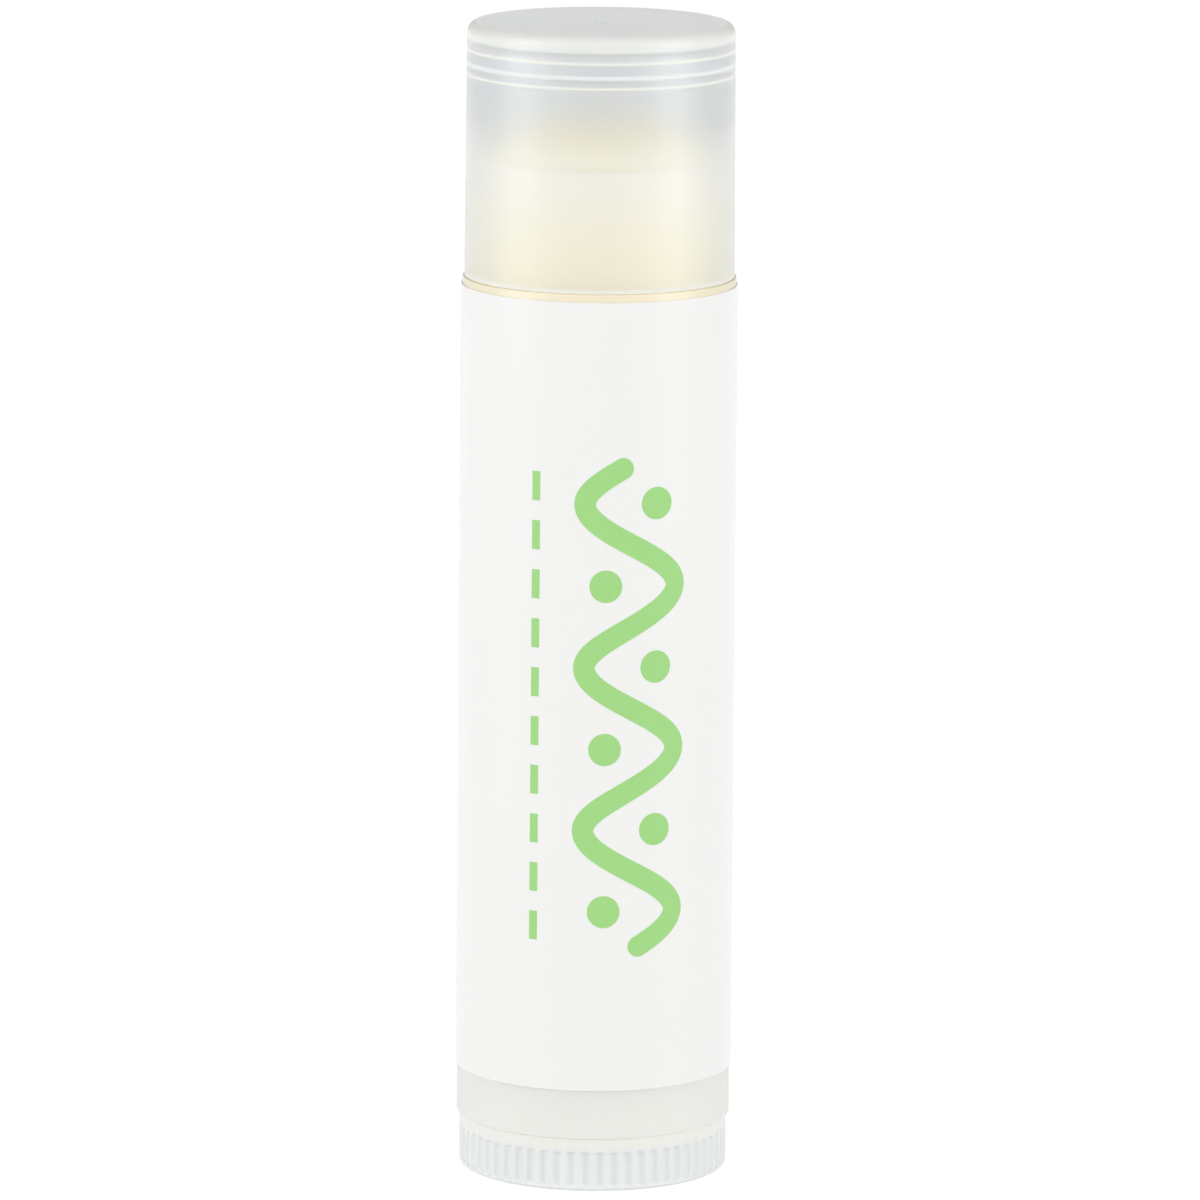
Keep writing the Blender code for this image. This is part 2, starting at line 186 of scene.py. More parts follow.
def uneven_skin(tree, place, size, depth, detail, strength):
    """The fine unevenness of a moulded, cast or pressed skin, for a shader's normal."""
    grain = add_node(tree, "ShaderNodeTexNoise", {"Vector": place, "Scale": 1 / size, "Detail": detail})
    return add_node(tree, "ShaderNodeBump", {"Strength": strength, "Distance": depth, "Height": grain})


def finish(piece, material, body, slot, *nodes):
    """Dress a piece, shade its rounds smooth, and tie it to the frame."""
    piece.data.materials.clear()
    piece.data.materials.append(material)
    piece.data.shade_smooth()
    piece.data.set_sharp_from_angle(angle=SHARP_ANGLE)
    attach(piece, body)
    if nodes:
        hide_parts(*nodes)


barrel = turned("barrel_tube", softened([
    (BORE_RADIUS, RIM_Z, NECK_RIM_ROUND),
    (NECK_RADIUS, RIM_Z, NECK_RIM_ROUND),
    (NECK_RADIUS, SHOULDER_Z),
    (SHOULDER_RADIUS, SHOULDER_Z, SHOULDER_ROUND),
    (BARREL_FOOT_RADIUS, BARREL_FOOT_Z, BARREL_FOOT_ROUND),
    (BORE_RADIUS + BORE_LEAD_IN, BARREL_FOOT_Z),
    (BORE_RADIUS, BARREL_FOOT_Z + BORE_LEAD_IN),
    (BORE_RADIUS, SNAP_GROOVE_Z - SNAP_GROOVE_HALF),
    (BORE_RADIUS + SNAP_GROOVE_DEPTH, SNAP_GROOVE_Z - SNAP_GROOVE_HALF + SNAP_GROOVE_DEPTH),
    (BORE_RADIUS + SNAP_GROOVE_DEPTH, SNAP_GROOVE_Z + SNAP_GROOVE_HALF - SNAP_GROOVE_DEPTH),
    (BORE_RADIUS, SNAP_GROOVE_Z + SNAP_GROOVE_HALF),
]))
guides = bmesh.new()
for guide_turn in GUIDE_TURNS:
    add_block(guides, (BORE_RADIUS - GUIDE_HEIGHT, -GUIDE_WIDTH / 2, GUIDE_FOOT_Z),
              (BORE_RADIUS + GUIDE_ROOT, GUIDE_WIDTH / 2, GUIDE_TOP_Z), guide_turn)
combine(barrel, add_object("guide_ribs", guides), "UNION")

# Natural polypropylene, moulded against polished steel: a milky wall that lets a little
# light through, with faint flow streaks along the tube and a soft gloss. The balm's cream glow
# through the wall is painted on: warm on the shoulder, and paler towards the rim in the
# thinner, clearer neck.
BARREL_COLOUR = "#F9F9F5"
BARREL_STREAK_COLOUR = "#F7F7F2"
BARREL_STREAK_WIDTH = 1.6 * MM
STREAK_SCALE_ALONG = 0.12
BARREL_GRAIN = 0.5 * MM
GRAIN_DEPTH = 0.01 * MM
# Painted glow: the balm's cream, as seen through the wall, painted into the shoulder's and the neck's colour
SHOULDER_BALM_GLOW_COLOUR = "#FFF6DC"
SHOULDER_GLOW_Z = (45 * MM, SHOULDER_Z - 0.5 * MM)
NECK_FOOT_BALM_GLOW_COLOUR = "#FFF5BA"
NECK_BALM_GLOW_COLOUR = "#FEF9E6"
NECK_EDGE = 0.05 * MM
NECK_MILK = 0.6
BARREL_MILK = 0.92
BARREL_GLOW = 0.15
barrel_plastic, tree, place = new_material("natural_polypropylene_barrel")
along_tube = add_node(tree, "ShaderNodeMapping", {"Vector": place, "Scale": (1, 1, STREAK_SCALE_ALONG)})
colour = drifting_colour(tree, along_tube, BARREL_STREAK_WIDTH, BARREL_COLOUR, BARREL_STREAK_COLOUR,
                         detail=3.0)
height = add_node(tree, "ShaderNodeSeparateXYZ", {0: place}).outputs[2]
# Painted glow by height: the shoulder and the neck take the balm's cream colour
glow_warmed, on_neck, up_neck = [
    add_node(tree, "ShaderNodeMapRange", {"Value": height, "From Min": low, "From Max": high},
             interpolation_type="SMOOTHSTEP")
    for low, high in (SHOULDER_GLOW_Z, (SHOULDER_Z - NECK_EDGE, SHOULDER_Z + NECK_EDGE),
                      (SHOULDER_Z, RIM_Z))]
colour = add_node(tree, "ShaderNodeMix", {
    0: glow_warmed, 6: colour, 7: linear(SHOULDER_BALM_GLOW_COLOUR)}, data_type="RGBA").outputs[2]
neck_glow_colour = add_node(tree, "ShaderNodeMix", {
    0: up_neck, 6: linear(NECK_FOOT_BALM_GLOW_COLOUR), 7: linear(NECK_BALM_GLOW_COLOUR)}, data_type="RGBA").outputs[2]
colour = add_node(tree, "ShaderNodeMix", {0: on_neck, 6: colour, 7: neck_glow_colour}, data_type="RGBA").outputs[2]
bump = uneven_skin(tree, place, BARREL_GRAIN, GRAIN_DEPTH, detail=2.0, strength=0.15)
milk = add_node(tree, "ShaderNodeBsdfPrincipled", {
    "Base Color": colour, "Roughness": 0.35, "IOR": 1.49, "Coat Weight": 1.0, "Coat Roughness": 0.2,
    "Normal": bump})
glow = add_node(tree, "ShaderNodeBsdfTranslucent", {"Color": colour, "Normal": bump})
body = add_node(tree, "ShaderNodeMixShader", {0: BARREL_GLOW, 1: milk, 2: glow})
clear = add_node(tree, "ShaderNodeBsdfTransparent", {"Color": linear("#FEFEFB")})
thick = add_node(tree, "ShaderNodeMapRange", {"Value": on_neck, "To Min": BARREL_MILK, "To Max": NECK_MILK})
wall = add_node(tree, "ShaderNodeMixShader", {0: thick, 1: clear, 2: body})
# Light that reaches what is inside passes with the slight tint of the wall
path = add_node(tree, "ShaderNodeLightPath")
lit_through = add_node(tree, "ShaderNodeBsdfTransparent", {"Color": linear("#F0F0EC")})
wall = add_node(tree, "ShaderNodeMixShader", {0: path.outputs["Is Shadow Ray"], 1: wall, 2: lit_through})
add_node(tree, "ShaderNodeOutputMaterial", {"Surface": wall})
finish(barrel, barrel_plastic, "barrel", "barrel_plastic", "barrel")


# Label: a white plastic film wrapped once round the barrel, glued on itself at the back,
# where the outer end lies over the inner one and leaves a step along the tube.
LABEL_FOOT_Z = 6.06 * MM
LABEL_TOP_Z = 52.3 * MM
LABEL_THICKNESS = 0.07 * MM
LABEL_GLUE = 0.02 * MM
LAP_HALF_ANGLE = math.radians(12)
LAP_RAMP = math.radians(5)
LAP_EDGE = math.radians(0.25)
LAP_EDGE_SHARES = (0, 1, 1.5, 2, 3)
LAP_END_TURN = math.pi / 2 + LAP_HALF_ANGLE
LABEL_STEPS = 360


def barrel_radius(height):
    """The barrel's drafted outside at a height."""
    return BARREL_FOOT_RADIUS - BARREL_DRAFT * (height - BARREL_FOOT_Z)


def film_rise(from_back):
    """How far the outer layer stands off, at an angle from the middle of the lap."""
    if from_back > LAP_HALF_ANGLE - LAP_EDGE or from_back < -LAP_HALF_ANGLE - LAP_RAMP:
        return 0
    ramp = min(1, (from_back + LAP_HALF_ANGLE + LAP_RAMP) / LAP_RAMP)
    edge = min(1, (LAP_HALF_ANGLE - LAP_EDGE - from_back) / LAP_EDGE)
    return LABEL_THICKNESS * ramp * ramp * (3 - 2 * ramp) * edge


def label_mesh():
    """The film's inner and outer faces and its two cut ends, up the drafted barrel."""
    shape = bmesh.new()
    turns = sorted([i * math.tau / LABEL_STEPS for i in range(LABEL_STEPS)]
                   + [LAP_END_TURN - LAP_EDGE * share for share in LAP_EDGE_SHARES])
    rings = []
    for height, outer in ((LABEL_FOOT_Z, False), (LABEL_FOOT_Z, True), (LABEL_TOP_Z, True),
                          (LABEL_TOP_Z, False)):
        ring = []
        for turn in turns:
            radius = barrel_radius(height) + LABEL_GLUE
            if outer:
                radius += LABEL_THICKNESS + film_rise(turn - math.pi / 2)
            ring.append(shape.verts.new((radius * math.cos(turn), radius * math.sin(turn), height)))
        rings.append(ring)
    for near, far in zip(rings, rings[1:] + rings[:1]):
        for i in range(len(turns)):
            j = (i + 1) % len(turns)
            shape.faces.new((near[i], near[j], far[j], far[i]))
    return shape


label = add_object("label_film", label_mesh())

# White polypropylene film, cast, with a satin gloss: flat and even in colour, with a very
# slight waviness from being pressed on that softens the reflections. A fine grey line along
# its outer cut end is the cut edge, with painted shade of the step there.
LABEL_COLOUR = "#EEEEEC"
LABEL_SHADE_COLOUR = "#ECECEB"
LABEL_PATCH = 9 * MM
LABEL_END_EDGE_AND_SHADE_COLOUR = "#D9DAD9"
LABEL_END_REACH = (0.3 * LAP_EDGE, 2.5 * LAP_EDGE)
LABEL_WAVE = 2.4 * MM
LABEL_WAVE_DEPTH = 0.02 * MM
LABEL_WAVE_SCALE_ALONG = 0.3
label_film, tree, place = new_material("white_polypropylene_film")
colour = drifting_colour(tree, place, LABEL_PATCH, LABEL_COLOUR, LABEL_SHADE_COLOUR, detail=1.0)
along_tube = add_node(tree, "ShaderNodeMapping", {"Vector": place, "Scale": (1, 1, LABEL_WAVE_SCALE_ALONG)})
bump = uneven_skin(tree, along_tube, LABEL_WAVE, LABEL_WAVE_DEPTH, detail=2.0, strength=0.2)
x, y, _ = add_node(tree, "ShaderNodeSeparateXYZ", {0: place}).outputs
turn = add_node(tree, "ShaderNodeMath", {0: y, 1: x}, operation="ARCTAN2")
past_end = add_node(tree, "ShaderNodeMath", {0: turn, 1: LAP_END_TURN}, operation="SUBTRACT")
from_end = add_node(tree, "ShaderNodeMath", {0: past_end}, operation="ABSOLUTE")
# Painted shade: a grey line along the outer end's step, together with the cut edge itself
end_edge_and_shade = add_node(tree, "ShaderNodeMapRange", {
    "Value": from_end, "From Min": LABEL_END_REACH[0], "From Max": LABEL_END_REACH[1],
    "To Min": 1.0, "To Max": 0.0}, interpolation_type="SMOOTHSTEP")
colour = add_node(tree, "ShaderNodeMix", {
    0: end_edge_and_shade, 6: colour, 7: linear(LABEL_END_EDGE_AND_SHADE_COLOUR)}, data_type="RGBA").outputs[2]
film = add_node(tree, "ShaderNodeBsdfPrincipled", {
    "Base Color": colour, "Roughness": 0.3, "IOR": 1.49, "Coat Weight": 0.9, "Coat Roughness": 0.24,
    "Normal": bump})
add_node(tree, "ShaderNodeOutputMaterial", {"Surface": film})
finish(label, label_film, "barrel", "label_film", "label")


# Label print: a plain wave with a dot in each bend, and a row of dashes beside it, in one
# green ink. It lies on the film along the tube, where the front of the stick shows it.
PRINT_FOOT_Z = 14.3 * MM
PRINT_LENGTH = 28.7 * MM
WAVE_CENTRE = 2.03 * MM
WAVE_REACH = 2.75 * MM
WAVE_STROKE = 1.25 * MM
WAVE_COUNT = 3
WAVE_POINTS = 721
STROKE_POINTS = 7
STROKE_TIP_SHARE = 0.02
DOT_RADIUS = 0.95 * MM
DOT_REACH_SHARE = 0.55
DOT_STEPS = 40
DASH_CENTRE = -3.67 * MM
DASH_LENGTH = 1.7 * MM
DASH_WIDTH = 0.5 * MM
DASH_COUNT = 10
INK_THICKNESS = 0.012 * MM
print_radius = barrel_radius(PRINT_FOOT_Z) + LABEL_GLUE + LABEL_THICKNESS


def modify_by_nodes(piece, tree, **values):
    """Set a Geometry Nodes tree's named inputs, and carry it out on the piece."""
    modifier = piece.modifiers.new(tree.name, "NODES")
    modifier.node_group = tree
    for item in tree.interface.items_tree:
        if item.item_type == "SOCKET" and item.in_out == "INPUT" and item.name in values:
            modifier[item.identifier] = values[item.name]
    carry_out(piece)


def new_geometry_tree(name, **inputs):
    """A Geometry Nodes tree with a geometry in and out and named number inputs."""
    tree = bpy.data.node_groups.new(name, "GeometryNodeTree")
    tree.interface.new_socket("Geometry", in_out="INPUT", socket_type="NodeSocketGeometry")
    for title, kind in inputs.items():
        tree.interface.new_socket(title, in_out="INPUT", socket_type="NodeSocket" + kind)
    tree.interface.new_socket("Geometry", in_out="OUTPUT", socket_type="NodeSocketGeometry")
    return tree, tree.nodes.new("NodeGroupInput").outputs


def end_geometry_tree(tree, shape, material):
    """Make a tree's instances real, dress its shape and hand it out."""
    whole = add_node(tree, "GeometryNodeRealizeInstances", {0: shape})
    dressed = add_node(tree, "GeometryNodeSetMaterial", {"Geometry": whole, "Material": material})
    add_node(tree, "NodeGroupOutput", {0: dressed})


def row_up_print(tree, length, count, across):
    """Points at an even pitch up the print, the first of them half a pitch up."""
    pitch = add_node(tree, "ShaderNodeMath", {0: length, 1: count}, operation="DIVIDE")
    half_pitch = add_node(tree, "ShaderNodeMath", {0: pitch, 1: 0.5}, operation="MULTIPLY")
    start = add_node(tree, "ShaderNodeCombineXYZ", {0: across, 2: half_pitch})
    step = add_node(tree, "ShaderNodeCombineXYZ", {2: pitch})
    return add_node(tree, "GeometryNodeMeshLine", {"Count": count, "Start Location": start, "Offset": step})


def upright_on(tree, points, shape):
    """A flat shape stood up in the XZ plane and repeated on the points."""
    upright = add_node(tree, "GeometryNodeTransform", {"Geometry": shape, "Rotation": (math.pi / 2, 0, 0)})
    return add_node(tree, "GeometryNodeInstanceOnPoints", {"Points": points, "Instance": upright})


def print_tree(ink):
    """The flat pattern, repeated along the tube, then wrapped on the film and given its thickness."""
    tree, given = new_geometry_tree(
        "wave_and_dash_print", Length="Float", Waves="Int", Reach="Float", Stroke="Float",
        DotRadius="Float", WaveCentre="Float", Dashes="Int", DashLength="Float", DashWidth="Float",
        DashCentre="Float", Radius="Float", Draft="Float", FootZ="Float", Ink="Float")
    place = add_node(tree, "GeometryNodeInputPosition")
    across, _, height = add_node(tree, "ShaderNodeSeparateXYZ", {0: place}).outputs

    # The wave is a sine curve that lies in the XZ plane
    line_end = add_node(tree, "ShaderNodeCombineXYZ", {2: given["Length"]})
    line = add_node(tree, "GeometryNodeCurvePrimitiveLine", {"Start": (0, 0, 0), "End": line_end})
    line = add_node(tree, "GeometryNodeResampleCurve", {"Curve": line, "Count": WAVE_POINTS})
    share = add_node(tree, "ShaderNodeMath", {0: height, 1: given["Length"]}, operation="DIVIDE")
    waves = add_node(tree, "ShaderNodeMath", {0: share, 1: given["Waves"]}, operation="MULTIPLY")
    phase = add_node(tree, "ShaderNodeMath", {0: waves, 1: math.tau}, operation="MULTIPLY")
    swing = add_node(tree, "ShaderNodeMath", {0: phase}, operation="SINE")
    sway = add_node(tree, "ShaderNodeMath", {
        0: swing, 1: given["Reach"], 2: given["WaveCentre"]}, operation="MULTIPLY_ADD")
    sway = add_node(tree, "ShaderNodeCombineXYZ", {0: sway})
    wave = add_node(tree, "GeometryNodeSetPosition", {"Geometry": line, "Offset": sway})

    # A straight stroke swept along it makes a ribbon, narrowed to a half circle at each end
    half_stroke = add_node(tree, "ShaderNodeMath", {0: given["Stroke"], 1: 0.5}, operation="MULTIPLY")
    other_half = add_node(tree, "ShaderNodeMath", {0: given["Stroke"], 1: -0.5}, operation="MULTIPLY")
    stroke_start = add_node(tree, "ShaderNodeCombineXYZ", {1: other_half})
    stroke_end = add_node(tree, "ShaderNodeCombineXYZ", {1: half_stroke})
    stroke = add_node(tree, "GeometryNodeCurvePrimitiveLine", {"Start": stroke_start, "End": stroke_end})
    stroke = add_node(tree, "GeometryNodeResampleCurve", {"Curve": stroke, "Count": STROKE_POINTS})
    from_start = add_node(tree, "GeometryNodeSplineParameter").outputs["Length"]
    whole_length = add_node(tree, "GeometryNodeSplineLength").outputs["Length"]
    to_end = add_node(tree, "ShaderNodeMath", {0: whole_length, 1: from_start}, operation="SUBTRACT")
    nearest = add_node(tree, "ShaderNodeMath", {0: from_start, 1: to_end}, operation="MINIMUM")
    share = add_node(tree, "ShaderNodeMath", {0: nearest, 1: half_stroke}, operation="DIVIDE", use_clamp=True)
    missing = add_node(tree, "ShaderNodeMath", {0: 1.0, 1: share}, operation="SUBTRACT")
    missing = add_node(tree, "ShaderNodeMath", {0: missing, 1: missing}, operation="MULTIPLY")
    width = add_node(tree, "ShaderNodeMath", {0: 1.0, 1: missing}, operation="SUBTRACT")
    width = add_node(tree, "ShaderNodeMath", {0: width}, operation="SQRT")
    width = add_node(tree, "ShaderNodeMath", {0: width, 1: STROKE_TIP_SHARE}, operation="MAXIMUM")
    ribbon = add_node(tree, "GeometryNodeCurveToMesh", {
        "Curve": wave, "Profile Curve": stroke, "Scale": width})

    # A dot sits in each bend of the wave, on the open side
    bends = add_node(tree, "ShaderNodeMath", {0: given["Waves"], 1: 2.0}, operation="MULTIPLY")
    dots = row_up_print(tree, given["Length"], bends, given["WaveCentre"])
    index = add_node(tree, "GeometryNodeInputIndex")
    odd = add_node(tree, "ShaderNodeMath", {0: index, 1: 2.0}, operation="MODULO")
    side = add_node(tree, "ShaderNodeMath", {0: odd, 1: 2.0, 2: -1.0}, operation="MULTIPLY_ADD")
    shift = add_node(tree, "ShaderNodeMath", {0: side, 1: given["Reach"]}, operation="MULTIPLY")
    shift = add_node(tree, "ShaderNodeMath", {0: shift, 1: DOT_REACH_SHARE}, operation="MULTIPLY")
    shift = add_node(tree, "ShaderNodeCombineXYZ", {0: shift})
    dots = add_node(tree, "GeometryNodeSetPosition", {"Geometry": dots, "Offset": shift})
    disc = add_node(tree, "GeometryNodeMeshCircle", {
        "Vertices": DOT_STEPS, "Radius": given["DotRadius"]}, fill_type="TRIANGLE_FAN")
    dots = upright_on(tree, dots, disc)

    # The dashes stand in one row beside the wave
    dashes = row_up_print(tree, given["Length"], given["Dashes"], given["DashCentre"])
    dash = add_node(tree, "GeometryNodeMeshGrid", {
        "Size X": given["DashWidth"], "Size Y": given["DashLength"], "Vertices X": 4, "Vertices Y": 6})
    dashes = upright_on(tree, dashes, dash)

    # All of it is wrapped round the drafted film, then lifted to the ink's thickness
    joined = tree.nodes.new("GeometryNodeJoinGeometry")
    for part in (ribbon, dots, dashes):
        tree.links.new(part.outputs[0], joined.inputs[0])
    whole = add_node(tree, "GeometryNodeRealizeInstances", {0: joined})
    whole = add_node(tree, "GeometryNodeSubdivideMesh", {"Mesh": whole, "Level": 1})
    taper = add_node(tree, "ShaderNodeMath", {0: height, 1: given["Draft"]}, operation="MULTIPLY")
    radius = add_node(tree, "ShaderNodeMath", {0: given["Radius"], 1: taper}, operation="SUBTRACT")
    turn = add_node(tree, "ShaderNodeMath", {0: across, 1: given["Radius"]}, operation="DIVIDE")
    sine = add_node(tree, "ShaderNodeMath", {0: turn}, operation="SINE")
    cosine = add_node(tree, "ShaderNodeMath", {0: turn}, operation="COSINE")
    to_side = add_node(tree, "ShaderNodeMath", {0: sine, 1: radius}, operation="MULTIPLY")
    to_back = add_node(tree, "ShaderNodeMath", {0: cosine, 1: radius}, operation="MULTIPLY")
    to_back = add_node(tree, "ShaderNodeMath", {0: to_back, 1: -1.0}, operation="MULTIPLY")
    up = add_node(tree, "ShaderNodeMath", {0: height, 1: given["FootZ"]}, operation="ADD")
    wrapped = add_node(tree, "ShaderNodeCombineXYZ", {0: to_side, 1: to_back, 2: up})
    whole = add_node(tree, "GeometryNodeSetPosition", {"Geometry": whole, "Position": wrapped})
    outward = add_node(tree, "ShaderNodeVectorMath", {0: place, 1: (1, 1, 0)}, operation="MULTIPLY")
    outward = add_node(tree, "ShaderNodeVectorMath", {0: outward}, operation="NORMALIZE")
    inked = add_node(tree, "GeometryNodeExtrudeMesh", {
        "Mesh": whole, "Offset": outward, "Offset Scale": given["Ink"], "Individual": False})
    end_geometry_tree(tree, inked, ink)
    return tree


# Screen-printed ink: an even light green, as satin as the film, with the faint
# unevenness of a thin coat.
INK_COLOUR = "#9BD37D"
INK_THIN_COLOUR = "#A0D684"
INK_PATCH = 0.8 * MM
green_ink, tree, place = new_material("green_screen_ink")
colour = drifting_colour(tree, place, INK_PATCH, INK_COLOUR, INK_THIN_COLOUR, detail=2.0)
ink = add_node(tree, "ShaderNodeBsdfPrincipled", {"Base Color": colour, "Roughness": 0.32, "IOR": 1.48})
add_node(tree, "ShaderNodeOutputMaterial", {"Surface": ink})

label_print = add_object("label_print", bmesh.new())
modify_by_nodes(label_print, print_tree(green_ink), Length=PRINT_LENGTH, Waves=WAVE_COUNT,
                Reach=WAVE_REACH, Stroke=WAVE_STROKE, DotRadius=DOT_RADIUS, WaveCentre=WAVE_CENTRE,
                Dashes=DASH_COUNT, DashLength=DASH_LENGTH, DashWidth=DASH_WIDTH,
                DashCentre=DASH_CENTRE, Radius=print_radius, Draft=BARREL_DRAFT, FootZ=PRINT_FOOT_Z,
                Ink=INK_THICKNESS)
finish(label_print, green_ink, "barrel", "label_film")


# Twist wheel: a ring with 60 flutes for the fingers, a snap collar and a left-hand threaded
# spindle up the middle of the barrel, moulded in one piece of white polypropylene.
WHEEL_RADIUS = 7.84 * MM
WHEEL_HEIGHT = 3.1 * MM
WHEEL_TOP_ROUND = 0.06 * MM
WHEEL_FOOT_ROUND = 0.2 * MM
COLLAR_RADIUS = 6.35 * MM
COLLAR_BORE_RADIUS = 5.45 * MM
COLLAR_TOP_Z = 6.7 * MM
COLLAR_LEAD_IN = 0.3 * MM
BEAD_Z = 5.0 * MM
BEAD_HALF = 0.45 * MM
BEAD_HEIGHT = 0.25 * MM
FOOT_RING_RADIUS = 6.44 * MM
FOOT_RECESS = 0.9 * MM
FOOT_BOSS_RADIUS = 2.2 * MM
FOOT_BOSS_RECESS = 0.35 * MM
RECESS_ROUND = 0.1 * MM
FLUTE_COUNT = 60
FLUTE_DEPTH = 0.16 * MM
FLUTE_ROUND = 0.34 * MM
FLUTE_FOOT_Z = 0.21 * MM
FLUTE_TOP_Z = 2.35 * MM
FLUTE_RUN_OUT = 0.2 * MM
STEPS_PER_FLUTE = 12
# Rings of the wall, from a flute's top to its foot, close together where it runs out
WALL_RING_SHARES = (0, 0.02, 0.04, 0.06, 0.08, 0.1, 0.3, 0.5, 0.7, 0.9, 0.92, 0.94, 0.96, 0.98, 1)
ON_WALL_SHARE = 0.999
THREAD_LEAD = 3.5 * MM
THREAD_BASE = 1.4 * MM
THREAD_CREST = 0.7 * MM
SPINDLE_RADIUS = 1.7 * MM
THREAD_RADIUS = 2.4 * MM
SPINDLE_FOOT_Z = 2.6 * MM
SPINDLE_TOP_Z = 56.5 * MM
THREAD_STEPS = 48


def flute_tree(material):
    """Round flutes pressed into the wheel's outer wall, running out above and below."""
    tree, given = new_geometry_tree(
        "wheel_flutes", Flutes="Int", Radius="Float", Depth="Float", Round="Float", FootZ="Float",
        TopZ="Float", RunOut="Float")
    place = add_node(tree, "GeometryNodeInputPosition")
    x, y, z = add_node(tree, "ShaderNodeSeparateXYZ", {0: place}).outputs

    # How far a point lies from the middle of its flute
    turn = add_node(tree, "ShaderNodeMath", {0: y, 1: x}, operation="ARCTAN2")
    turn = add_node(tree, "ShaderNodeMath", {0: turn, 1: given["Flutes"]}, operation="MULTIPLY")
    flutes = add_node(tree, "ShaderNodeMath", {0: turn, 1: math.tau}, operation="DIVIDE")
    off_centre = add_node(tree, "ShaderNodeMath", {0: flutes}, operation="FRACT")
    off_centre = add_node(tree, "ShaderNodeMath", {0: off_centre, 1: 0.5}, operation="SUBTRACT")
    girth = add_node(tree, "ShaderNodeMath", {0: given["Radius"], 1: math.tau}, operation="MULTIPLY")
    pitch = add_node(tree, "ShaderNodeMath", {0: girth, 1: given["Flutes"]}, operation="DIVIDE")
    aside = add_node(tree, "ShaderNodeMath", {0: off_centre, 1: pitch}, operation="MULTIPLY")

    # How deep a round cutter, held so far out that it just reaches the depth, goes there
    aside = add_node(tree, "ShaderNodeMath", {0: aside, 1: aside}, operation="MULTIPLY")
    square = add_node(tree, "ShaderNodeMath", {0: given["Round"], 1: 2.0}, operation="POWER")
    square = add_node(tree, "ShaderNodeMath", {0: square, 1: aside}, operation="SUBTRACT")
    square = add_node(tree, "ShaderNodeMath", {0: square, 1: 0.0}, operation="MAXIMUM")
    arc = add_node(tree, "ShaderNodeMath", {0: square}, operation="SQRT")
    held_out = add_node(tree, "ShaderNodeMath", {0: given["Round"], 1: given["Depth"]}, operation="SUBTRACT")
    cut = add_node(tree, "ShaderNodeMath", {0: arc, 1: held_out}, operation="SUBTRACT")
    cut = add_node(tree, "ShaderNodeMath", {0: cut, 1: 0.0}, operation="MAXIMUM")
    for edge, sign in ((given["FootZ"], 1.0), (given["TopZ"], -1.0)):
        past = add_node(tree, "ShaderNodeMath", {0: z, 1: edge}, operation="SUBTRACT")
        past = add_node(tree, "ShaderNodeMath", {0: past, 1: sign}, operation="MULTIPLY")
        kept = add_node(tree, "ShaderNodeMapRange", {
            "Value": past, "From Min": 0.0, "From Max": given["RunOut"]}, interpolation_type="SMOOTHSTEP")
        cut = add_node(tree, "ShaderNodeMath", {0: cut, 1: kept}, operation="MULTIPLY")

    # The wall's points move inward by that much
    flat = add_node(tree, "ShaderNodeVectorMath", {0: place, 1: (1, 1, 0)}, operation="MULTIPLY")
    outward = add_node(tree, "ShaderNodeVectorMath", {0: flat}, operation="NORMALIZE")
    inward = add_node(tree, "ShaderNodeMath", {0: cut, 1: -1.0}, operation="MULTIPLY")
    inward = add_node(tree, "ShaderNodeVectorMath", {0: outward, "Scale": inward}, operation="SCALE")
    radius = add_node(tree, "ShaderNodeVectorMath", {0: flat}, operation="LENGTH").outputs["Value"]
    limit = add_node(tree, "ShaderNodeMath", {0: given["Radius"], 1: ON_WALL_SHARE}, operation="MULTIPLY")
    on_wall = add_node(tree, "ShaderNodeMath", {0: radius, 1: limit}, operation="GREATER_THAN")
    fluted = add_node(tree, "GeometryNodeSetPosition", {
        "Geometry": given["Geometry"], "Selection": on_wall, "Offset": inward})
    end_geometry_tree(tree, fluted, material)
    return tree


def thread_mesh(foot, top):
    """A rod with a left-hand trapezoid thread, cut square at its foot and its top."""
    flank = (THREAD_BASE - THREAD_CREST) / 2
    tooth = [(SPINDLE_RADIUS, 0), (THREAD_RADIUS, -flank), (THREAD_RADIUS, flank - THREAD_BASE),
             (SPINDLE_RADIUS, -THREAD_BASE)]
    turns_up = math.ceil(top / THREAD_LEAD) + 1
    shape = bmesh.new()
    columns = []
    for step in range(THREAD_STEPS + 1):
        turn = step * math.tau / THREAD_STEPS
        column = []
        for level in range(turns_up, -2, -1):
            start = (level - step / THREAD_STEPS) * THREAD_LEAD
            column += [shape.verts.new((radius * math.cos(turn), radius * math.sin(turn), start + rise))
                       for radius, rise in tooth]
        columns.append(column)
    for near, far in zip(columns, columns[1:]):
        for i in range(len(near) - 1):
            shape.faces.new((near[i], near[i + 1], far[i + 1], far[i]))
    bmesh.ops.remove_doubles(shape, verts=shape.verts, dist=MERGE_DISTANCE)
    for height, side in ((top, 1), (foot, -1)):
        everything = shape.verts[:] + shape.edges[:] + shape.faces[:]
        bmesh.ops.bisect_plane(shape, geom=everything, plane_co=(0, 0, height), plane_no=(0, 0, side),
                               clear_outer=True)
    bmesh.ops.holes_fill(shape, edges=[edge for edge in shape.edges if edge.is_boundary])
    return shape


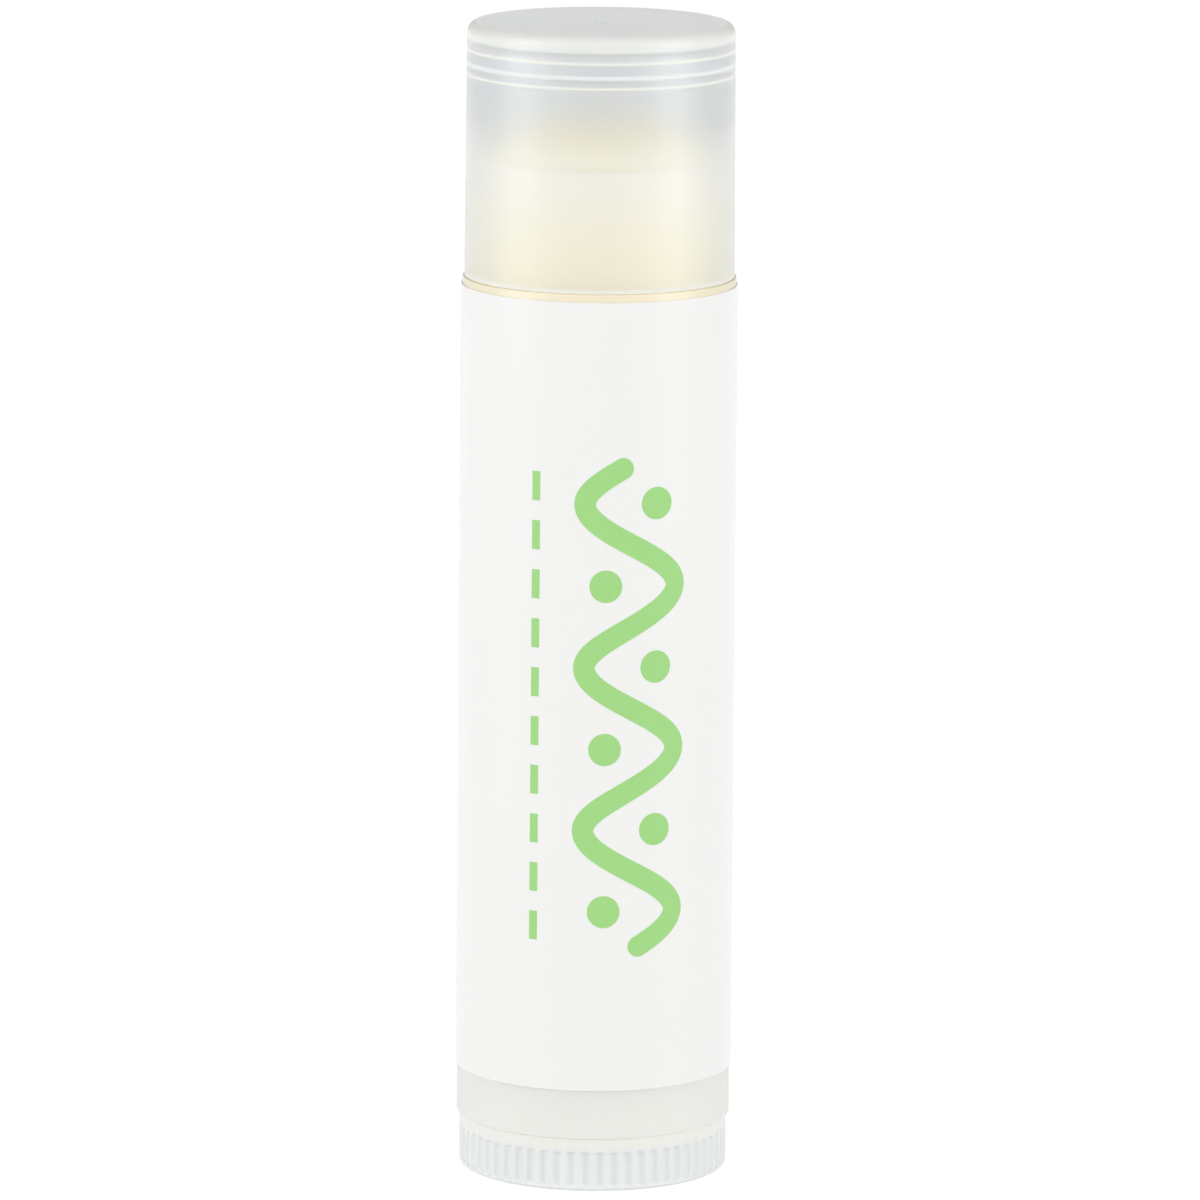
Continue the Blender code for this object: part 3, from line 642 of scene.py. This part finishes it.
# White polypropylene, moulded: cooler than the barrel in the thin flutes, warmer in the
# thick band above them, with a satin gloss on the crests.
WHEEL_COLOUR = "#E6E8E7"
WHEEL_SHADE_COLOUR = "#E3E6E6"
WHEEL_PATCH = 2 * MM
WHEEL_BAND_COLOUR = "#E9E9E4"
WHEEL_BAND_Z = (FLUTE_TOP_Z - 0.1 * MM, FLUTE_TOP_Z + 0.3 * MM)
WHEEL_GRAIN = 0.35 * MM
WHEEL_DEPTH_OF_LIGHT = 0.1 * MM
wheel_plastic, tree, place = new_material("white_polypropylene_wheel")
colour = drifting_colour(tree, place, WHEEL_PATCH, WHEEL_COLOUR, WHEEL_SHADE_COLOUR, detail=2.0)
height = add_node(tree, "ShaderNodeSeparateXYZ", {0: place}).outputs[2]
in_band = add_node(tree, "ShaderNodeMapRange", {
    "Value": height, "From Min": WHEEL_BAND_Z[0], "From Max": WHEEL_BAND_Z[1]},
    interpolation_type="SMOOTHSTEP")
colour = add_node(tree, "ShaderNodeMix", {
    0: in_band, 6: colour, 7: linear(WHEEL_BAND_COLOUR)}, data_type="RGBA").outputs[2]
bump = uneven_skin(tree, place, WHEEL_GRAIN, GRAIN_DEPTH, detail=2.0, strength=0.15)
plastic = add_node(tree, "ShaderNodeBsdfPrincipled", {
    "Base Color": colour, "Roughness": 0.24, "IOR": 1.49, "Subsurface Weight": 0.3,
    "Subsurface Radius": (1.0, 1.0, 1.0), "Subsurface Scale": WHEEL_DEPTH_OF_LIGHT, "Normal": bump})
add_node(tree, "ShaderNodeOutputMaterial", {"Surface": plastic})

wheel = turned("wheel_and_spindle", softened([
    (0, WHEEL_HEIGHT),
    (COLLAR_BORE_RADIUS, WHEEL_HEIGHT),
    (COLLAR_BORE_RADIUS, COLLAR_TOP_Z),
    (COLLAR_RADIUS - COLLAR_LEAD_IN, COLLAR_TOP_Z),
    (COLLAR_RADIUS, COLLAR_TOP_Z - COLLAR_LEAD_IN),
    (COLLAR_RADIUS, BEAD_Z + BEAD_HALF),
    (COLLAR_RADIUS + BEAD_HEIGHT, BEAD_Z + BEAD_HALF - BEAD_HEIGHT),
    (COLLAR_RADIUS + BEAD_HEIGHT, BEAD_Z - BEAD_HALF + BEAD_HEIGHT),
    (COLLAR_RADIUS, BEAD_Z - BEAD_HALF),
    (COLLAR_RADIUS, WHEEL_HEIGHT),
    (WHEEL_RADIUS, WHEEL_HEIGHT, WHEEL_TOP_ROUND),
    *[(WHEEL_RADIUS, FLUTE_TOP_Z - (FLUTE_TOP_Z - FLUTE_FOOT_Z) * share) for share in WALL_RING_SHARES],
    (WHEEL_RADIUS, 0, WHEEL_FOOT_ROUND),
    (FOOT_RING_RADIUS, 0, RECESS_ROUND),
    (FOOT_RING_RADIUS, FOOT_RECESS),
    (FOOT_BOSS_RADIUS, FOOT_RECESS),
    (FOOT_BOSS_RADIUS, FOOT_BOSS_RECESS, RECESS_ROUND),
    (0, FOOT_BOSS_RECESS),
]), FLUTE_COUNT * STEPS_PER_FLUTE)
modify_by_nodes(wheel, flute_tree(wheel_plastic), Flutes=FLUTE_COUNT, Radius=WHEEL_RADIUS,
                Depth=FLUTE_DEPTH, Round=FLUTE_ROUND, FootZ=FLUTE_FOOT_Z, TopZ=FLUTE_TOP_Z,
                RunOut=FLUTE_RUN_OUT)
combine(wheel, add_object("spindle", thread_mesh(SPINDLE_FOOT_Z, SPINDLE_TOP_Z)), "UNION")
finish(wheel, wheel_plastic, "twist_wheel", "wheel_plastic", "twist_wheel")


# Carrier: the cup under the balm, a nut on the spindle. It is the CAD solid as it stands,
# white polypropylene with the satin of a moulded inner part.
CARRIER_COLOUR = "#EFEFEB"
CARRIER_SHADE_COLOUR = "#E9E9E4"
CARRIER_PATCH = 2 * MM
carrier_plastic, tree, place = new_material("white_polypropylene_carrier")
colour = drifting_colour(tree, place, CARRIER_PATCH, CARRIER_COLOUR, CARRIER_SHADE_COLOUR, detail=2.0)
bump = uneven_skin(tree, place, CARRIER_PATCH, GRAIN_DEPTH, detail=2.0, strength=0.15)
plastic = add_node(tree, "ShaderNodeBsdfPrincipled", {
    "Base Color": colour, "Roughness": 0.4, "IOR": 1.49, "Normal": bump})
add_node(tree, "ShaderNodeOutputMaterial", {"Surface": plastic})
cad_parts["carrier"].data.materials.clear()
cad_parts["carrier"].data.materials.append(carrier_plastic)


# Balm: a stick of wax and oil, poured into the barrel warm, so that it fills the bore and
# sets with a low dome that stands a little above the rim.
BALM_RADIUS = 6.25 * MM
BALM_TOP_Z = 61.9 * MM
BALM_DOME = 2.2 * MM
BALM_CUP_RADIUS = 5.25 * MM
BALM_CUP_Z = 14.1 * MM
BALM_FOOT_Z = 8.1 * MM
BALM_HUB_RADIUS = 3.75 * MM
BALM_HUB_Z = 11.3 * MM
BALM_BORE_RADIUS = 2.65 * MM
BALM_BORE_TOP_Z = 56.7 * MM
DOME_STEPS = 20
WEB_COUNT = 4
WEB_SLOT_WIDTH = 1.2 * MM
WEB_SLOT_REACH = 0.25 * MM
GUIDE_GROOVE_WIDTH = 1.1 * MM
GUIDE_GROOVE_RADIUS = 5.9 * MM
GUIDE_GROOVE_TOP_Z = 58.4 * MM
CUT_OVERRUN = 0.5 * MM

dome = [(BALM_RADIUS * math.sin(step / DOME_STEPS * math.pi / 2),
         BALM_TOP_Z - BALM_DOME * (1 - math.cos(step / DOME_STEPS * math.pi / 2)))
        for step in range(DOME_STEPS + 1)]
balm = turned("balm_stick", dome + [
    (BALM_RADIUS, BALM_CUP_Z),
    (BALM_CUP_RADIUS, BALM_CUP_Z),
    (BALM_CUP_RADIUS, BALM_FOOT_Z),
    (BALM_HUB_RADIUS, BALM_FOOT_Z),
    (BALM_HUB_RADIUS, BALM_HUB_Z),
    (BALM_BORE_RADIUS, BALM_HUB_Z),
    (BALM_BORE_RADIUS, BALM_BORE_TOP_Z),
    (0, BALM_BORE_TOP_Z),
])
slots = bmesh.new()
for web in range(WEB_COUNT):
    add_block(slots, (BALM_HUB_RADIUS - WEB_SLOT_REACH, -WEB_SLOT_WIDTH / 2, BALM_FOOT_Z - CUT_OVERRUN),
              (BALM_CUP_RADIUS + WEB_SLOT_REACH, WEB_SLOT_WIDTH / 2, BALM_HUB_Z),
              math.tau * (web + 0.5) / WEB_COUNT)
for guide_turn in GUIDE_TURNS:
    add_block(slots, (GUIDE_GROOVE_RADIUS, -GUIDE_GROOVE_WIDTH / 2, BALM_FOOT_Z - CUT_OVERRUN),
              (BALM_RADIUS + CUT_OVERRUN, GUIDE_GROOVE_WIDTH / 2, GUIDE_GROOVE_TOP_Z), guide_turn)
combine(balm, add_object("balm_slots", slots), "DIFFERENCE")

# Beeswax and oils: a cream solid that light sinks into, so its shadows are warm and soft,
# with a low sheen and the faint clouding and pits of a poured wax.
BALM_COLOUR = "#F0E3B8"
BALM_CLOUD_COLOUR = "#F2E6C0"
BALM_CLOUD = 3 * MM
BALM_PIT = 0.7 * MM
BALM_PIT_DEPTH = 0.03 * MM
BALM_DEPTH_OF_LIGHT = 3.0 * MM
balm_wax, tree, place = new_material("cream_beeswax_balm")
colour = drifting_colour(tree, place, BALM_CLOUD, BALM_COLOUR, BALM_CLOUD_COLOUR, detail=3.0)
bump = uneven_skin(tree, place, BALM_PIT, BALM_PIT_DEPTH, detail=4.0, strength=0.3)
wax = add_node(tree, "ShaderNodeBsdfPrincipled", {
    "Base Color": colour, "Roughness": 0.5, "IOR": 1.44, "Subsurface Weight": 0.8,
    "Subsurface Radius": (1.0, 0.9, 0.7), "Subsurface Scale": BALM_DEPTH_OF_LIGHT, "Normal": bump})
add_node(tree, "ShaderNodeOutputMaterial", {"Surface": wax})
finish(balm, balm_wax, "carrier", "balm_wax", "balm")


# Cap: a deep over-cap pushed on the neck, with a low ring inside near its top. Natural
# polypropylene, gated at the middle of its flat top.
CAP_MOUTH_Z = 52.76 * MM
CAP_TOP_Z = 67.5 * MM
CAP_MOUTH_RADIUS = 7.835 * MM
CAP_TOP_RADIUS = 7.75 * MM
CAP_TOP_ROUND = 0.6 * MM
CAP_BORE_RADIUS = 7.2 * MM
CAP_BORE_TOP_RADIUS = 7.14 * MM
CAP_MOUTH_OUTER_ROUND = 0.03 * MM
CAP_MOUTH_INNER_ROUND = 0.15 * MM
CAP_PLATE_Z = 66.35 * MM
CAP_PLATE_ROUND = 0.45 * MM
CAP_RING_FOOT_Z = 64.1 * MM
CAP_RING_TOP_Z = 65.05 * MM
CAP_RING_HEIGHT = 0.2 * MM
CAP_ROUND_STEPS = 8
GATE_RADIUS = 0.35 * MM
GATE_PIT_RADIUS = 0.75 * MM
GATE_DEPTH = 0.035 * MM
DISH_RADIUS = 3.7 * MM
DISH_DEPTH = 0.04 * MM
DISH_SLOPE = 0.25 * MM

cap = turned("cap_shell", softened([
    (0, CAP_TOP_Z - GATE_DEPTH * 0.3),
    (GATE_RADIUS, CAP_TOP_Z - GATE_DEPTH * 0.4),
    (GATE_RADIUS * 1.2, CAP_TOP_Z - DISH_DEPTH - GATE_DEPTH),
    (GATE_PIT_RADIUS, CAP_TOP_Z - DISH_DEPTH - GATE_DEPTH * 0.3),
    (DISH_RADIUS - DISH_SLOPE, CAP_TOP_Z - DISH_DEPTH),
    (DISH_RADIUS + DISH_SLOPE, CAP_TOP_Z),
    (CAP_TOP_RADIUS, CAP_TOP_Z, CAP_TOP_ROUND),
    (CAP_MOUTH_RADIUS, CAP_MOUTH_Z, CAP_MOUTH_OUTER_ROUND),
    (CAP_BORE_RADIUS, CAP_MOUTH_Z, CAP_MOUTH_INNER_ROUND),
    (CAP_BORE_TOP_RADIUS, CAP_RING_FOOT_Z),
    (CAP_BORE_TOP_RADIUS - CAP_RING_HEIGHT, CAP_RING_FOOT_Z + CAP_RING_HEIGHT),
    (CAP_BORE_TOP_RADIUS - CAP_RING_HEIGHT, CAP_RING_TOP_Z - CAP_RING_HEIGHT),
    (CAP_BORE_TOP_RADIUS, CAP_RING_TOP_Z),
    (CAP_BORE_TOP_RADIUS, CAP_PLATE_Z, CAP_PLATE_ROUND),
    (0, CAP_PLATE_Z),
], CAP_ROUND_STEPS))

# Natural polypropylene, moulded matt inside and glossy outside, with faint flow marks: what
# is close behind shows soft, and what is further off is lost. At the top's round edge, the
# mouth's lip and the inner ring's steps the wall is made milkier and warmer in pale bands:
# the thicker wall there, and painted highlights of those edges.
CAP_COLOUR = "#FCFDFF"
CAP_STREAK_COLOUR = "#FAFBFD"
CAP_STREAK_WIDTH = 1.3 * MM
CAP_GRAIN = 0.4 * MM
CAP_MILK_COLOUR = "#F8FBFE"
CAP_HIGHLIGHT_WARM_COLOUR = "#FEFDF2"
CAP_HAZE = 0.75
# How milky the wall is: where it grips the neck, in the free wall, and in the thick places, which also carry
# painted highlights
CAP_GRIP_MILK = 0.32
CAP_WALL_MILK = 0.12
CAP_PLATE_MILK = 0.4
CAP_CORNER_MILK_AND_HIGHLIGHT = 0.8
CAP_LINE_HIGHLIGHT_MILK = 0.7
CAP_LIP_MILK_AND_HIGHLIGHT = 0.75
# Where each of these starts and is full: heights, and radii from the axis
GRIP_END_Z = (59.5 * MM, 62.5 * MM)
SKIN_RADII = (7.35 * MM, 7.45 * MM)
SKIN_Z = (66.9 * MM, 67.1 * MM)
PLATE_Z = (66.4 * MM, 66.8 * MM)
CORNER_RADII = (6.85 * MM, 7.0 * MM)
CORNER_Z = (66.5 * MM, 66.65 * MM)
CORNER_HIGHLIGHT_WARMTH = 0.5
LIP_Z = (CAP_MOUTH_Z + 0.15 * MM, CAP_MOUTH_Z + 0.3 * MM)
# Each painted highlight line's height, its reach up and down, and how warm it is
CAP_HIGHLIGHT_LINES = ((65.98 * MM, 0.13 * MM, 1.0),
             (CAP_RING_TOP_Z + 0.12 * MM, 0.17 * MM, 0.0),
             (CAP_RING_FOOT_Z + 0.46 * MM, 0.13 * MM, 1.0))
CAP_HIGHLIGHT_LINE_FADE = 0.1 * MM
CAP_OUTER_ROUGHNESS = 0.28
CAP_INNER_ROUGHNESS = 0.45
CAP_COAT = 1.0
CAP_COAT_ROUGHNESS = 0.36
CAP_GRIP_SHADE = "#FDFDFD"
CAP_TOP_SHADE = "#F9FAFA"
CAP_DEPTH_COLOUR = "#E8F0F0"
CAP_ABSORPTION = 60.0
cap_plastic, tree, place = new_material("frosted_natural_polypropylene_cap")
along_wall = add_node(tree, "ShaderNodeMapping", {"Vector": place, "Scale": (1, 1, STREAK_SCALE_ALONG)})
colour = drifting_colour(tree, along_wall, CAP_STREAK_WIDTH, CAP_COLOUR, CAP_STREAK_COLOUR, detail=3.0)
bump = uneven_skin(tree, place, CAP_GRAIN, GRAIN_DEPTH, detail=2.0, strength=0.06)
height = add_node(tree, "ShaderNodeSeparateXYZ", {0: place}).outputs[2]
flat = add_node(tree, "ShaderNodeVectorMath", {0: place, 1: (1, 1, 0)}, operation="MULTIPLY")
radius = add_node(tree, "ShaderNodeVectorMath", {0: flat}, operation="LENGTH").outputs["Value"]
past_grip, on_side, on_top, in_plate, out_in_corner, up_in_corner = [
    add_node(tree, "ShaderNodeMapRange", {"Value": value, "From Min": low, "From Max": high},
             interpolation_type="SMOOTHSTEP")
    for value, (low, high) in ((height, GRIP_END_Z), (radius, SKIN_RADII), (height, SKIN_Z),
                               (height, PLATE_Z), (radius, CORNER_RADII), (height, CORNER_Z))]
outside = add_node(tree, "ShaderNodeMath", {0: on_side, 1: on_top}, operation="MAXIMUM")
corner = add_node(tree, "ShaderNodeMath", {0: up_in_corner, 1: out_in_corner}, operation="MULTIPLY")
# Painted highlights: pale, warm bands at the top's inner round edge and at the inner ring's steps
highlight_lines = 0.0
highlight_warmth = add_node(tree, "ShaderNodeMath", {0: corner, 1: CORNER_HIGHLIGHT_WARMTH}, operation="MULTIPLY")
for line_z, reach, warmth in CAP_HIGHLIGHT_LINES:
    above = add_node(tree, "ShaderNodeMath", {0: height, 1: line_z}, operation="SUBTRACT")
    away = add_node(tree, "ShaderNodeMath", {0: above}, operation="ABSOLUTE")
    line = add_node(tree, "ShaderNodeMapRange", {
        "Value": away, "From Min": reach - CAP_HIGHLIGHT_LINE_FADE, "From Max": reach, "To Min": 1.0, "To Max": 0.0},
        interpolation_type="SMOOTHSTEP")
    highlight_lines = add_node(tree, "ShaderNodeMath", {0: highlight_lines, 1: line}, operation="ADD")
    highlight_warmth = add_node(tree, "ShaderNodeMath", {0: line, 1: warmth, 2: highlight_warmth}, operation="MULTIPLY_ADD")
highlight_lines = add_node(tree, "ShaderNodeMath", {0: highlight_lines, 1: outside}, operation="MULTIPLY")
# Painted highlight: a pale lip just above the mouth
lip_milk_and_highlight = add_node(tree, "ShaderNodeMapRange", {
    "Value": height, "From Min": LIP_Z[0], "From Max": LIP_Z[1], "To Min": CAP_LIP_MILK_AND_HIGHLIGHT, "To Max": 0.0},
    interpolation_type="SMOOTHSTEP")
thick = CAP_GRIP_MILK
for share, added_milk in ((past_grip, CAP_WALL_MILK - CAP_GRIP_MILK),
                          (in_plate, CAP_PLATE_MILK - CAP_WALL_MILK),
                          (corner, CAP_CORNER_MILK_AND_HIGHLIGHT - CAP_PLATE_MILK),
                          (highlight_lines, CAP_LINE_HIGHLIGHT_MILK)):
    thick = add_node(tree, "ShaderNodeMath", {0: share, 1: added_milk, 2: thick}, operation="MULTIPLY_ADD")
thick = add_node(tree, "ShaderNodeMath", {0: thick, 1: lip_milk_and_highlight}, operation="MAXIMUM")

roughness = add_node(tree, "ShaderNodeMapRange", {
    "Value": outside, "To Min": CAP_INNER_ROUGHNESS, "To Max": CAP_OUTER_ROUGHNESS})
clear = add_node(tree, "ShaderNodeBsdfPrincipled", {
    "Base Color": colour, "Roughness": roughness, "IOR": 1.49, "Transmission Weight": 1.0,
    "Coat Weight": CAP_COAT, "Coat Roughness": CAP_COAT_ROUGHNESS, "Normal": bump})
milk_and_highlight_colour = add_node(tree, "ShaderNodeMix", {
    0: highlight_warmth, 6: linear(CAP_MILK_COLOUR), 7: linear(CAP_HIGHLIGHT_WARM_COLOUR)}, data_type="RGBA").outputs[2]
milk = add_node(tree, "ShaderNodeBsdfTranslucent", {"Color": milk_and_highlight_colour, "Normal": bump})
haze = add_node(tree, "ShaderNodeBsdfPrincipled", {
    "Base Color": milk_and_highlight_colour, "Roughness": CAP_OUTER_ROUGHNESS, "IOR": 1.49, "Coat Weight": CAP_COAT,
    "Coat Roughness": CAP_COAT_ROUGHNESS, "Normal": bump})
body = add_node(tree, "ShaderNodeMixShader", {0: CAP_HAZE, 1: milk, 2: haze})
wall = add_node(tree, "ShaderNodeMixShader", {0: thick, 1: clear, 2: body})
# Light that reaches the neck and the balm passes straight through with a slight tint
path = add_node(tree, "ShaderNodeLightPath")
lighting = add_node(tree, "ShaderNodeMath", {
    0: path.outputs["Is Shadow Ray"], 1: path.outputs["Is Diffuse Ray"]}, operation="MAXIMUM")
tint = add_node(tree, "ShaderNodeMix", {
    0: past_grip, 6: linear(CAP_GRIP_SHADE), 7: linear(CAP_TOP_SHADE)}, data_type="RGBA").outputs[2]
lit_through = add_node(tree, "ShaderNodeBsdfTransparent", {"Color": tint})
wall = add_node(tree, "ShaderNodeMixShader", {0: lighting, 1: wall, 2: lit_through})
absorption = add_node(tree, "ShaderNodeVolumeAbsorption", {
    "Color": linear(CAP_DEPTH_COLOUR), "Density": CAP_ABSORPTION})
add_node(tree, "ShaderNodeOutputMaterial", {"Surface": wall, "Volume": absorption})
finish(cap, cap_plastic, "cap", "cap_plastic", "cap")


# Floor: a sheet of plain white paper that runs out of the picture. It shows white to the
# camera and in glossy surfaces, where it keeps the stick's soft shadow. Through the clear
# cap it shows as a plain pale grey.
FLOOR_HALF = 4.0
FLOOR_COLOUR = "#F4F4F4"
FLOOR_SHADOW_LEVEL = 0.14
FLOOR_WHITE = 0.9
FLOOR_THROUGH_COLOUR = "#C4CCD0"
shape = bmesh.new()
bmesh.ops.create_grid(shape, x_segments=1, y_segments=1, size=FLOOR_HALF)
floor = add_object("floor", shape)
paper, tree, _ = new_material("white_paper_floor")
path = add_node(tree, "ShaderNodeLightPath")
seen = add_node(tree, "ShaderNodeMath", {
    0: path.outputs["Is Camera Ray"], 1: path.outputs["Is Glossy Ray"]}, operation="MAXIMUM")
matt = add_node(tree, "ShaderNodeBsdfDiffuse", {"Color": linear(FLOOR_COLOUR)})
shadow = add_node(tree, "ShaderNodeBsdfDiffuse", {"Color": [FLOOR_SHADOW_LEVEL] * 3 + [1]})
white = add_node(tree, "ShaderNodeEmission", {"Color": linear("#FFFFFF"), "Strength": FLOOR_WHITE})
shown = add_node(tree, "ShaderNodeAddShader", {0: shadow, 1: white})
sheet = add_node(tree, "ShaderNodeMixShader", {0: seen, 1: matt, 2: shown})
grey = add_node(tree, "ShaderNodeEmission", {"Color": linear(FLOOR_THROUGH_COLOUR)})
sheet = add_node(tree, "ShaderNodeMixShader", {0: path.outputs["Is Transmission Ray"], 1: sheet, 2: grey})
add_node(tree, "ShaderNodeOutputMaterial", {"Surface": sheet})
floor.data.materials.append(paper)


# Studio: a pale room, brighter in front of the stick than behind it, with a dimmer patch
# round the camera and a lighter strip behind the stick. To the camera it is plain white. A
# large soft light stands at each side, the left one stronger, and a weak one above the front.
FRONT_LEVEL = 1.16
BACK_LEVEL = 0.5
CAMERA_LEVEL = 0.52
BACKDROP_LEVEL = 0.84
# The least level that shows through the clear cap
THROUGH_LEVEL = 0.74
# Places on the room's round wall, from -1 in front to 1 behind, and out from the middle
FRONT_TO_BACK = (-0.5, 0.25)
CAMERA_PATCH_DEPTH = (-0.7, -0.3)
CAMERA_PATCH_ASIDE = (0.2, 0.55)
BACKDROP_DEPTH = (0.0, 0.5)
BACKDROP_ASIDE = (0.06, 0.22)
world = bpy.data.worlds.new("white_room")
bpy.context.scene.world = world
world.use_nodes = True
tree = world.node_tree
tree.nodes.clear()
path = add_node(tree, "ShaderNodeLightPath")
way = add_node(tree, "ShaderNodeTexCoord").outputs["Generated"]
across, depth, _ = add_node(tree, "ShaderNodeSeparateXYZ", {0: way}).outputs
aside = add_node(tree, "ShaderNodeMath", {0: across}, operation="ABSOLUTE")
level, patch_across, patch, strip_across, strip = [
    add_node(tree, "ShaderNodeMapRange", {
        "Value": value, "From Min": low, "From Max": high, "To Min": at_low, "To Max": at_high},
        interpolation_type="SMOOTHSTEP")
    for value, (low, high), at_low, at_high in (
        (depth, FRONT_TO_BACK, FRONT_LEVEL, BACK_LEVEL),
        (aside, CAMERA_PATCH_ASIDE, 1.0, 0.0),
        (depth, CAMERA_PATCH_DEPTH, FRONT_LEVEL - CAMERA_LEVEL, 0.0),
        (aside, BACKDROP_ASIDE, 1.0, 0.0),
        (depth, BACKDROP_DEPTH, 0.0, BACKDROP_LEVEL))]
patch = add_node(tree, "ShaderNodeMath", {0: patch_across, 1: patch}, operation="MULTIPLY")
strip = add_node(tree, "ShaderNodeMath", {0: strip_across, 1: strip}, operation="MULTIPLY")
level = add_node(tree, "ShaderNodeMath", {0: level, 1: patch}, operation="SUBTRACT")
level = add_node(tree, "ShaderNodeMath", {0: level, 1: strip}, operation="MAXIMUM")
through = add_node(tree, "ShaderNodeMath", {
    0: path.outputs["Is Transmission Ray"], 1: THROUGH_LEVEL}, operation="MULTIPLY")
level = add_node(tree, "ShaderNodeMath", {0: level, 1: through}, operation="MAXIMUM")
level = add_node(tree, "ShaderNodeMath", {0: path.outputs["Is Camera Ray"], 1: level}, operation="MAXIMUM")
room = add_node(tree, "ShaderNodeBackground", {"Color": linear("#FFFFFF"), "Strength": level})
add_node(tree, "ShaderNodeOutputWorld", {"Surface": room})

STICK_MIDDLE = (0, 0, 0.034)
# Each light's name, place, width and height in metres, and power in watts
SOFT_LIGHTS = (("left_soft_light", (-0.565, -0.19, 0.2), (0.4, 0.6), 1.22),
               ("right_soft_light", (0.54, -0.25, 0.2), (0.36, 0.6), 1.1),
               ("front_soft_light", (-0.05, -0.6, 0.45), (0.7, 0.35), 0.32))
for name, place, size, power in SOFT_LIGHTS:
    light = bpy.data.lights.new(name, "AREA")
    light.shape = "RECTANGLE"
    light.size, light.size_y = size
    light.energy = power
    lamp = bpy.data.objects.new(name, light)
    lamp.location = place
    lamp.rotation_euler = (Vector(STICK_MIDDLE) - Vector(place)).to_track_quat("-Z", "Y").to_euler()
    bpy.context.scene.collection.objects.link(lamp)


# Camera: a long lens, a little above the stick, rolled by the slight lean of the photo.
# Light may bounce often enough to pass the cap's and the neck's walls and come back out.
LENS = 280.9
CAMERA_PLACE = (0, -0.53728, 0.13329)
CAMERA_AIM = (0.000184, 0, 0.03356)
CAMERA_ROLL = 0.0083
camera_data = bpy.data.cameras.new("camera")
camera_data.lens = LENS
camera_data.clip_start = 0.01
camera = bpy.data.objects.new("camera", camera_data)
camera.location = CAMERA_PLACE
facing = (Vector(CAMERA_AIM) - Vector(CAMERA_PLACE)).to_track_quat("-Z", "Y")
camera.rotation_euler = (facing @ Quaternion((0, 0, 1), CAMERA_ROLL)).to_euler()
scene = bpy.context.scene
scene.collection.objects.link(camera)
scene.camera = camera
scene.view_settings.view_transform = "Standard"
scene.cycles.max_bounces = 24
scene.cycles.transmission_bounces = 20
scene.cycles.transparent_max_bounces = 24
scene.cycles.diffuse_bounces = 6
scene.cycles.glossy_bounces = 8
